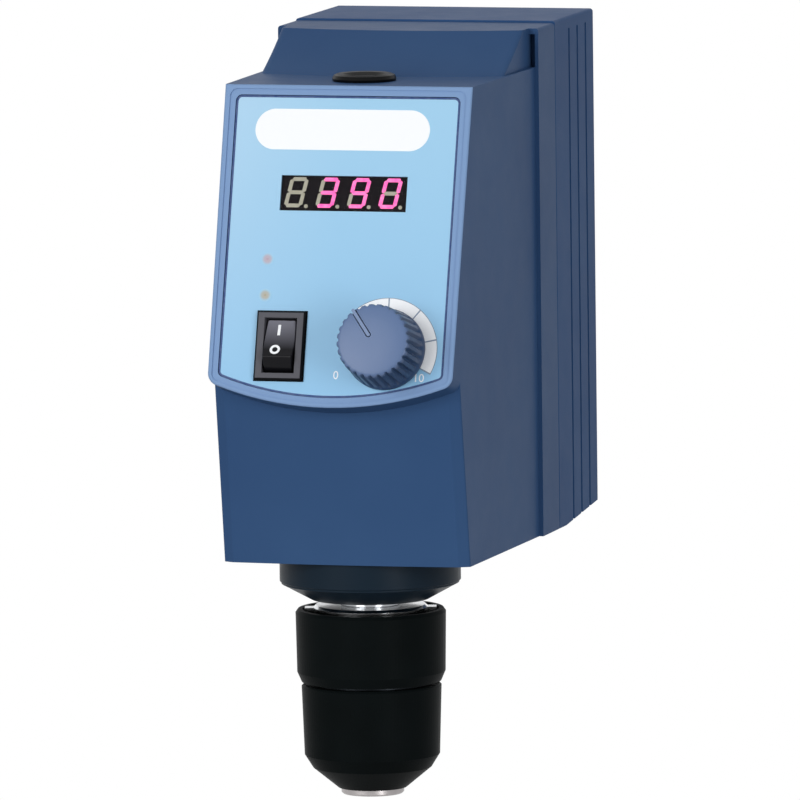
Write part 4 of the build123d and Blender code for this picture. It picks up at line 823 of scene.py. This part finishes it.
marks = bmesh.new()
bar_u, bar_v, bar_w, bar_h = BAR_MARK
bmesh.ops.create_grid(
    marks,
    x_segments=1,
    y_segments=6,
    size=0.5,
    matrix=Matrix.Translation((bar_u, bar_v, 0)) @ Matrix.Diagonal((bar_w, bar_h, 1, 1)),
)
ring_u, ring_v, ring_in, ring_out = RING_MARK
ring_ends = [marks.verts.new((ring_u + reach, ring_v, 0)) for reach in (ring_in, ring_out)]
bmesh.ops.spin(
    marks,
    geom=ring_ends + [marks.edges.new(ring_ends)],
    cent=(ring_u, ring_v, 0),
    axis=(0, 0, 1),
    angle=math.radians(360),
    steps=40,
    use_merge=True,
)
bmesh.ops.remove_doubles(marks, verts=marks.verts, dist=0.001)
thicken(marks, marks.faces[:], MARK_T)
for vert in marks.verts:
    vert.co.z += face_height(vert.co.y)
bmesh.ops.transform(marks, matrix=from_rocker(), verts=marks.verts)
keep("rocker_marks", marks, white_ink, "power_rocker")

# ---------------------------------------------------------------- speed knob
# Push-on knob moulded in satin blue-grey ABS: finger flutes round its side, and a pointer rib in
# a groove of the face.  The side is painted darker than the domed face: painted shade on the
# flutes, and a painted highlight on the face.
KNOB_FLUTES = 28
KNOB_STEPS = 10         # points round one flute and ridge
# the knob from its foot to the middle of its face: height over the panel, radius, and how
# deep the flutes are cut there
KNOB_RINGS = (
    (2.7, 7.0, 0.0),
    (-0.4, 7.0, 0.0),
    (-0.4, 12.2, 0.0),
    (-0.2, 12.4, 0.0),
    (1.3, 12.4, 0.0),
    (1.9, 12.15, 0.05),
    (2.6, 12.1, 0.5),
    (4.0, 12.0, 0.85),
    (8.0, 11.75, 0.95),
    (12.0, 11.5, 0.95),
    (14.2, 11.35, 0.9),
    (14.9, 11.2, 0.7),
    (15.3, 10.9, 0.3),
    (15.5, 10.5, 0.05),
    (15.62, 10.0, 0.0),
    (15.95, 6.0, 0.0),
    (16.05, 2.5, 0.0),
)
KNOB_SMOOTH = 34        # degrees; sharper edges than this stay crisp
FACE_RIM = KNOB_RINGS[-4][0]
FACE_MIDDLE = KNOB_RINGS[-1][0]
POINTER_TURN = 35.5     # degrees to the left of straight up
POINTER_FROM, POINTER_TO = 1.2, 11.8
POINTER_W, POINTER_GROOVE, POINTER_DEPTH = 1.0, 0.32, 0.9


def knob_reach(ring_r, depth, turn):
    """Radius at one angle: narrow rounded flutes between broad ridges."""
    wave = math.cos(turn * KNOB_FLUTES)
    return ring_r - depth * max(0.0, wave) ** 0.8


def slot_plate(from_r, to_r, width, low, high):
    """A round-ended bar along the pointer's line, between two heights."""
    made = bmesh.new()
    bmesh.ops.create_circle(made, cap_ends=True, segments=24, radius=width / 2)
    for vert in made.verts:
        vert.co.x += (to_r - width / 2) if vert.co.x > 0 else (from_r + width / 2)
    thicken(made, made.faces[:], high - low)
    bmesh.ops.translate(made, verts=made.verts, vec=(0, 0, low))
    turn = Matrix.Rotation(math.radians(90 + POINTER_TURN), 4, "Z")
    bmesh.ops.transform(made, matrix=turn, verts=made.verts)
    return made


def on_dial():
    """Takes the knob's millimetres to the row frame."""
    return on_panel() @ Matrix.Translation((DIAL_U, DIAL_V, 0))


knob = bmesh.new()
knob_points = KNOB_FLUTES * KNOB_STEPS
first = bmesh.ops.create_circle(knob, cap_ends=True, segments=knob_points, radius=1.0)
loop = list(knob.edges)
for index, (height, ring_r, depth) in enumerate(KNOB_RINGS):
    if index:
        grown = bmesh.ops.extrude_edge_only(knob, edges=loop)
        loop = [e for e in grown["geom"] if isinstance(e, bmesh.types.BMEdge)]
        around = [v for v in grown["geom"] if isinstance(v, bmesh.types.BMVert)]
    else:
        around = first["verts"]
    for vert in around:
        turn = math.atan2(vert.co.y, vert.co.x)
        reach = knob_reach(ring_r, depth, turn)
        vert.co = (reach * math.cos(turn), reach * math.sin(turn), height)
bmesh.ops.contextual_create(knob, geom=loop)
bmesh.ops.transform(knob, matrix=on_dial(), verts=knob.verts)

# painted light: the flutes below the face get a darker blue as painted shade, the face a lighter
# blue as painted highlight
knob_abs_painted_light = graded_plastic(
    "knob_abs_painted_light",
    PANEL_OUT,
    13.5,
    15.7,
    ("#2F4668", "#293E5E"),
    "#5B7197",
    roughness=0.34,
    shine=0.3,
    grain_height=0.02,
)
knob_piece = keep("knob_shell", knob, knob_abs_painted_light, "speed_control", KNOB_SMOOTH)
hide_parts("speed_knob")

# the pointer's groove is cut into the face, and its rib stands in the groove
groove = slot_plate(
    POINTER_FROM,
    POINTER_TO + 1.0,
    POINTER_W + 2 * POINTER_GROOVE,
    FACE_RIM - POINTER_DEPTH,
    FACE_MIDDLE + 1.0,
)
bmesh.ops.transform(groove, matrix=on_dial(), verts=groove.verts)
cutter_mesh = bpy.data.meshes.new("groove_cutter")
groove.to_mesh(cutter_mesh)
groove.free()
cutter = bpy.data.objects.new("groove_cutter", cutter_mesh)
bpy.context.scene.collection.objects.link(cutter)
cut = knob_piece.modifiers.new("groove", "BOOLEAN")
cut.object = cutter
cut.solver = "EXACT"
bpy.context.view_layer.update()
grooved = bpy.data.meshes.new_from_object(
    knob_piece.evaluated_get(bpy.context.evaluated_depsgraph_get())
)
knob_piece.modifiers.clear()
knob_piece.data = grooved
bpy.data.objects.remove(cutter)
for face in grooved.polygons:
    face.use_smooth = True
grooved.set_sharp_from_angle(angle=math.radians(KNOB_SMOOTH))

rib = slot_plate(
    POINTER_FROM + POINTER_GROOVE,
    POINTER_TO - POINTER_GROOVE,
    POINTER_W,
    FACE_RIM - POINTER_DEPTH - 0.1,
    FACE_MIDDLE + 0.05,
)
bmesh.ops.transform(rib, matrix=on_dial(), verts=rib.verts)
pointer_abs = moulded_plastic("pointer_abs", "#7286A8", "#687DA1", 0.6, 0.36, 0.02, 0.3)
keep("pointer_rib", rib, pointer_abs, "speed_control", 40)

# ---------------------------------------------------------------- top cap
# Cap over the shaft passage, moulded in soft black rubber.  It is pushed in by hand, and its
# skin keeps a low gloss.
dress(moulded_plastic("cap_rubber", "#0C0D0F", "#060708", 0.8, 0.32, 0.01, 0.1), "shaft_cap")

# ---------------------------------------------------------------- chuck
# Hand-tightened chuck: sleeves moulded in black glass-filled nylon with fine upright ribs,
# a blackened steel body, bright jaws, and a chromed lock ring with two lugs.


def ribbed_nylon(name, colour, dark, ribs=120):
    """Black nylon sleeve with fine upright ribs all round the spindle axis."""
    made, tree = new_material(name)
    point = object_point(tree)
    parts = add(tree, "SeparateXYZ", None, {0: point})
    angle = add(
        tree,
        "Math",
        {"operation": "ARCTAN2"},
        {0: parts.outputs["Y"], 1: parts.outputs["X"]},
    ).outputs[0]
    turns = add(tree, "Math", {"operation": "MULTIPLY"}, {0: angle, 1: float(ribs)}).outputs[0]
    wave = add(tree, "Math", {"operation": "SINE"}, {0: turns}).outputs[0]
    grain = noise(tree, point, 0.6, 3.0)
    ribs_height = add(
        tree, "Math", {"operation": "MULTIPLY_ADD"}, {0: wave, 1: 0.5, 2: 0.5}
    ).outputs[0]
    height = add(
        tree, "Math", {"operation": "MULTIPLY_ADD"}, {0: grain, 1: 0.25, 2: ribs_height}
    ).outputs[0]
    tint = mixed(tree, noise(tree, point, 14, 3.0), linear(colour), linear(dark))
    finish_with(
        tree,
        Base_Color=tint,
        Roughness=between(tree, grain, 0.36, 0.48),
        Normal=bumped(tree, height, 0.02, 0.4),
        IOR=1.53,
        Specular_IOR_Level=0.015,
    )
    return made


TURNED_ACROSS = 40.0    # lumps in a metre across the feed marks


def turned_metal(name, colour, dark, roughness=0.28, ring_mm=0.8):
    """Turned metal: fine feed marks round the spindle axis, and slight staining."""
    made, tree = new_material(name)
    point = object_point(tree)
    stretch = (TURNED_ACROSS, TURNED_ACROSS, 1000 / ring_mm)
    stretched = add(tree, "Mapping", None, {0: point, 3: stretch}).outputs[0]
    marks = add(
        tree, "TexNoise", None, {"Vector": stretched, "Scale": 1.0, "Detail": 4.0}
    ).outputs["Fac"]
    stain = noise(tree, point, 12, 4.0)
    finish_with(
        tree,
        Base_Color=mixed(tree, stain, linear(colour), linear(dark)),
        Metallic=1.0,
        Roughness=between(tree, marks, roughness - 0.07, roughness + 0.1),
        Normal=bumped(tree, marks, 0.01),
    )
    return made


sleeve_nylon = ribbed_nylon("sleeve_nylon", "#0F1415", "#080B0B")
dress(sleeve_nylon, "chuck_sleeve", "chuck_rear_sleeve")

NOSE_BARE_MM = 3.4      # the chuck body is bright up to this height
NOSE_FADE_MM = 0.2
NOSE_RING_MM = 0.8


def nosed_steel():
    """Black oxide on the chuck body, ground off its nose round the jaws."""
    made, tree = new_material("blackened_body")
    point = object_point(tree)
    parts = add(tree, "SeparateXYZ", None, {0: point})
    start, end = NOSE_BARE_MM * MM, (NOSE_BARE_MM + NOSE_FADE_MM) * MM
    bare = add(
        tree, "MapRange", None, {0: parts.outputs["Z"], 1: start, 2: end, 3: 1.0, 4: 0.0}
    ).outputs[0]
    stain = noise(tree, point, 6, 4.0)
    stretch = (TURNED_ACROSS, TURNED_ACROSS, 1000 / NOSE_RING_MM)
    stretched = add(tree, "Mapping", None, {0: point, 3: stretch}).outputs[0]
    marks = add(tree, "TexNoise", None, {"Vector": stretched}).outputs["Fac"]
    black = mixed(tree, stain, linear("#2E3236"), linear("#1E2124"))
    bright = mixed(tree, stain, linear("#B8B3B2"), linear("#8F8B8C"))
    finish_with(
        tree,
        Base_Color=mixed(tree, bare, black, bright),
        Metallic=1.0,
        Roughness=between(tree, marks, 0.26, 0.4),
        Normal=bumped(tree, marks, 0.01),
    )
    return made


dress(nosed_steel(), "chuck_body")
dress(turned_metal("blackened_steel", "#4A5056", "#34393E", 0.36), "chuck_nut")
dress(turned_metal("jaw_steel", "#C9CBCE", "#A9ACB0", 0.24), "jaw_1", "jaw_2", "jaw_3")
dress(turned_metal("lock_ring_chrome", "#E4E6E8", "#D2D5D8", 0.12, 1.5), "chuck_lock_ring")

# ---------------------------------------------------------------- spindle and bearings
# Hollow spindle ground from carbon steel, so bright with fine marks.  It runs in two sealed
# ball bearings, held by spring-steel circlips.
ground_steel = turned_metal("ground_steel", "#C4C6C9", "#A8ABAF", 0.22, 0.6)
dress(
    ground_steel,
    "spindle",
    "lower_bearing_outer",
    "lower_bearing_inner",
    "upper_bearing_outer",
    "upper_bearing_inner",
)
spring_steel = turned_metal("spring_steel", "#3A3E44", "#2A2E33", 0.34)
dress(spring_steel, "spindle_circlips", "gear_set_screw")

# ---------------------------------------------------------------- gears
# Reduction pair, both hobbed: a brass gear held on the spindle by a set screw, and a steel
# pinion pressed on the motor shaft.
dress(turned_metal("hobbed_brass", "#C9A54E", "#AE8C3F", 0.3), "driven_gear")
dress(ground_steel, "motor_pinion")

# ---------------------------------------------------------------- motor
# Permanent-magnet motor: laminated stator and rotor in a drawn, zinc-plated can, with a
# moulded end cap, screwed to a plated plate.
SPANGLE_MM = 3.0


def plated_steel(name, colour, dark, roughness=0.35):
    """Zinc-plated sheet: a soft spangle with a dull shine."""
    made, tree = new_material(name)
    point = object_point(tree)
    spangle = add(
        tree, "TexVoronoi", None, {"Vector": point, "Scale": 1000 / SPANGLE_MM}
    ).outputs["Color"]
    level = add(tree, "SeparateColor", None, {0: spangle}).outputs[0]
    finish_with(
        tree,
        Base_Color=mixed(tree, level, linear(colour), linear(dark)),
        Metallic=1.0,
        Roughness=between(tree, level, roughness - 0.08, roughness + 0.08),
        Normal=bumped(tree, noise(tree, point, 1.0, 3.0), 0.01),
    )
    return made


zinc = plated_steel("zinc_plated_steel", "#B9BCBF", "#9EA2A6")
dress(zinc, "motor_can", "motor_plate", "potentiometer")
laminations = plated_steel("lamination_stack", "#6C7075", "#565A5F", 0.45)
dress(laminations, "motor_stator", "motor_rotor")
dress(ground_steel, "motor_shaft", "pot_shaft", "potentiometer_nut")
dress(turned_metal("sintered_bronze", "#B58A4E", "#96713E", 0.42), "motor_bushes")
black_moulding = moulded_plastic("glass_filled_nylon", "#1B1C1F", "#131417", 0.6, 0.46, 0.03)
dress(black_moulding, "motor_end_cap")

# ---------------------------------------------------------------- frame and fasteners
# Inner frame sand-cast in aluminium, with a dull pebbled skin.  It is held by blackened
# machine screws, and the boards and the motor by plated ones.


def cast_aluminium():
    """Sand-cast aluminium: a pebbled skin with a dull, slightly mottled shine."""
    made, tree = new_material("cast_aluminium")
    point = object_point(tree)
    pebble = noise(tree, point, 1.2, 4.0, 0.6)
    blotch = noise(tree, point, 15, 3.0)
    finish_with(
        tree,
        Base_Color=mixed(tree, blotch, linear("#A9ABAD"), linear("#8E9194")),
        Metallic=1.0,
        Roughness=between(tree, pebble, 0.45, 0.62),
        Normal=bumped(tree, pebble, 0.08),
    )
    return made


dress(cast_aluminium(), "frame")
screw_steel = turned_metal("screw_steel", "#B4B7BB", "#989CA1", 0.3)
black_screws = turned_metal("blackened_screws", "#3C4045", "#2A2D31", 0.36)
dress(screw_steel, "board_screws", "power_board_screws", "inlet_screws", "motor_screws")
dress(black_screws, "housing_screws", "frame_screws", "motor_plate_screws")

# ---------------------------------------------------------------- rod socket
# Boss for the support rod, turned in steel and bolted to the frame through the rear cover.
# Blackened socket screws clamp the rod.
dress(turned_metal("socket_steel", "#BDC0C3", "#A2A5A9", 0.26), "rod_socket")
dress(black_screws, "rod_set_screws", "rod_socket_screws")

# ---------------------------------------------------------------- circuit boards
# Glass-epoxy boards under green solder mask, on brass stand-offs.  Their components are
# sleeved or moulded in dark plastic.


def solder_mask():
    """Green solder mask with the faint print of copper tracks under it."""
    made, tree = new_material("solder_mask")
    point = object_point(tree)
    tracks = add(
        tree,
        "TexBrick",
        None,
        {
            "Vector": point,
            "Scale": 1000 / 6.0,
            "Color1": linear("#1F5C38"),
            "Color2": linear("#235F3C"),
            "Mortar": linear("#2F7A50"),
            "Mortar Size": 0.04,
        },
    )
    finish_with(
        tree,
        Base_Color=tracks.outputs["Color"],
        Roughness=between(tree, noise(tree, point, 2), 0.25, 0.35),
        Normal=bumped(tree, tracks.outputs["Fac"], 0.02),
        IOR=1.5,
        Specular_IOR_Level=0.3,
    )
    return made


dress(solder_mask(), "panel_board", "power_board")
component_sleeve = moulded_plastic("component_sleeve", "#2B2D38", "#22242E", 0.5, 0.35)
dress(component_sleeve, "power_components")
dress(turned_metal("standoff_brass", "#C2A050", "#A88840", 0.3), "board_standoffs")

# ---------------------------------------------------------------- mains inlet and fuse
# Mains inlet moulded in black nylon, with brass pins, screwed to the rear cover.  The fuse
# holder over it has a screw cap of the same moulding.
dress(black_moulding, "inlet_socket", "fuse_holder")
dress(turned_metal("pin_brass", "#CDB26A", "#B99B52", 0.22), "inlet_pins")

# ---------------------------------------------------------------- floor and light
# White studio sweep: the floor shows plain white and keeps the object's soft shadow, and
# three softboxes light the object evenly.


def seen_directly(tree):
    """1 for what the camera sees, in a mirror or through glass too, and 0 for bounce."""
    path = add(tree, "LightPath")
    seen = path.outputs["Is Camera Ray"]
    for kind in ("Is Glossy Ray", "Is Transmission Ray"):
        seen = add(
            tree, "Math", {"operation": "MAXIMUM"}, {0: seen, 1: path.outputs[kind]}
        ).outputs[0]
    return seen


FLOOR_Z = -0.16
SHADOW_NEAR, SHADOW_FAR = 0.25, 0.7
SHADOW_WHITE = 0.96     # share of plain white in the floor near the object


def sweep_material():
    """White backdrop: plain white in the camera's sight, and light grey for bounce."""
    made, tree = new_material("studio_white")
    seen = seen_directly(tree)
    diffuse = add(tree, "BsdfDiffuse", None, {"Color": linear("#B8B8B8")})
    white = add(tree, "Emission", None, {"Color": (1, 1, 1, 1), "Strength": 1.0})
    away = add(
        tree, "VectorMath", {"operation": "LENGTH"}, {0: object_point(tree)}
    ).outputs["Value"]
    # the shadow's share of the floor fades out towards the backdrop
    white_share = add(
        tree, "MapRange", None, {0: away, 1: SHADOW_NEAR, 2: SHADOW_FAR, 3: SHADOW_WHITE, 4: 1.0}
    ).outputs[0]
    share = add(tree, "Math", {"operation": "MULTIPLY"}, {0: seen, 1: white_share}).outputs[0]
    mix = add(
        tree, "MixShader", None, {0: share, 1: diffuse.outputs[0], 2: white.outputs[0]}
    )
    add(tree, "OutputMaterial", None, {"Surface": mix.outputs[0]})
    return made


floor_mesh = bmesh.new()
bmesh.ops.create_grid(floor_mesh, x_segments=1, y_segments=1, size=3.0)
bmesh.ops.translate(floor_mesh, verts=floor_mesh.verts, vec=(0, 0, FLOOR_Z))
floor_data = bpy.data.meshes.new("floor")
floor_mesh.to_mesh(floor_data)
floor_mesh.free()
floor_data.materials.append(sweep_material())
floor = bpy.data.objects.new("floor", floor_data)
bpy.context.scene.collection.objects.link(floor)

world = bpy.data.worlds.new("studio")
world.use_nodes = True
world_tree = world.node_tree
world_tree.nodes.clear()
ambient = add(world_tree, "Background", None, {0: linear("#F2F5FA"), 1: 0.36})
backdrop = add(world_tree, "Background", None, {0: (1, 1, 1, 1), 1: 1.0})
world_mix = add(
    world_tree,
    "MixShader",
    None,
    {0: seen_directly(world_tree), 1: ambient.outputs[0], 2: backdrop.outputs[0]},
)
add(world_tree, "OutputWorld", None, {0: world_mix.outputs[0]})
bpy.context.scene.world = world


def softbox(name, place, aim, width, height, watts):
    """A rectangular soft light that looks at a point."""
    data = bpy.data.lights.new(name, "AREA")
    data.shape = "RECTANGLE"
    data.size = width
    data.size_y = height
    data.energy = watts
    lamp = bpy.data.objects.new(name, data)
    lamp.location = place
    lamp.rotation_euler = (Vector(aim) - Vector(place)).to_track_quat("-Z", "Y").to_euler()
    bpy.context.scene.collection.objects.link(lamp)


MIDDLE = (0.0, 0.03, 0.13)
softbox("key", (-0.6, -1.28, 0.5), MIDDLE, 0.8, 0.8, 11)
softbox("fill", (0.98, -0.92, 0.22), MIDDLE, 0.4, 0.8, 6)
softbox("top", (0.0, 0.1, 1.3), MIDDLE, 0.9, 0.9, 2)

# ---------------------------------------------------------------- camera
# Long lens four metres away, a little to the right of the machine and above it, and held
# nearly level.
AZIMUTH, ELEVATION, ROLL = math.radians(15.4), math.radians(6.5), math.radians(0.68)
PX_PER_MM = 3.28
DISTANCE = 4000.0
PICTURE_PX = 800
CENTRE_X, CENTRE_Y = 368.2, 400.0
AIM_Z = 120.7
SENSOR_W = 36.0
right = Vector((math.cos(AZIMUTH), math.sin(AZIMUTH), 0))
back = Vector(
    (
        math.sin(AZIMUTH) * math.cos(ELEVATION),
        -math.cos(AZIMUTH) * math.cos(ELEVATION),
        math.sin(ELEVATION),
    )
)
up = back.cross(right)
place = (
    right * ((PICTURE_PX / 2 - CENTRE_X) / PX_PER_MM)
    + up * ((CENTRE_Y - PICTURE_PX / 2) / PX_PER_MM)
    + back * DISTANCE
    + Vector((0, 0, AIM_Z))
)
rolled_right = right * math.cos(ROLL) - up * math.sin(ROLL)
rolled_up = right * math.sin(ROLL) + up * math.cos(ROLL)
camera_data = bpy.data.cameras.new("camera")
camera_data.sensor_width = SENSOR_W
camera_data.lens = PX_PER_MM * DISTANCE / PICTURE_PX * SENSOR_W
camera_data.clip_end = 20.0
camera = bpy.data.objects.new("camera", camera_data)
axes = Matrix((rolled_right, rolled_up, back)).transposed().to_4x4()
camera.matrix_world = Matrix.Translation(place * MM) @ axes
bpy.context.scene.collection.objects.link(camera)
bpy.context.scene.camera = camera

bpy.context.scene.view_settings.view_transform = "Standard"
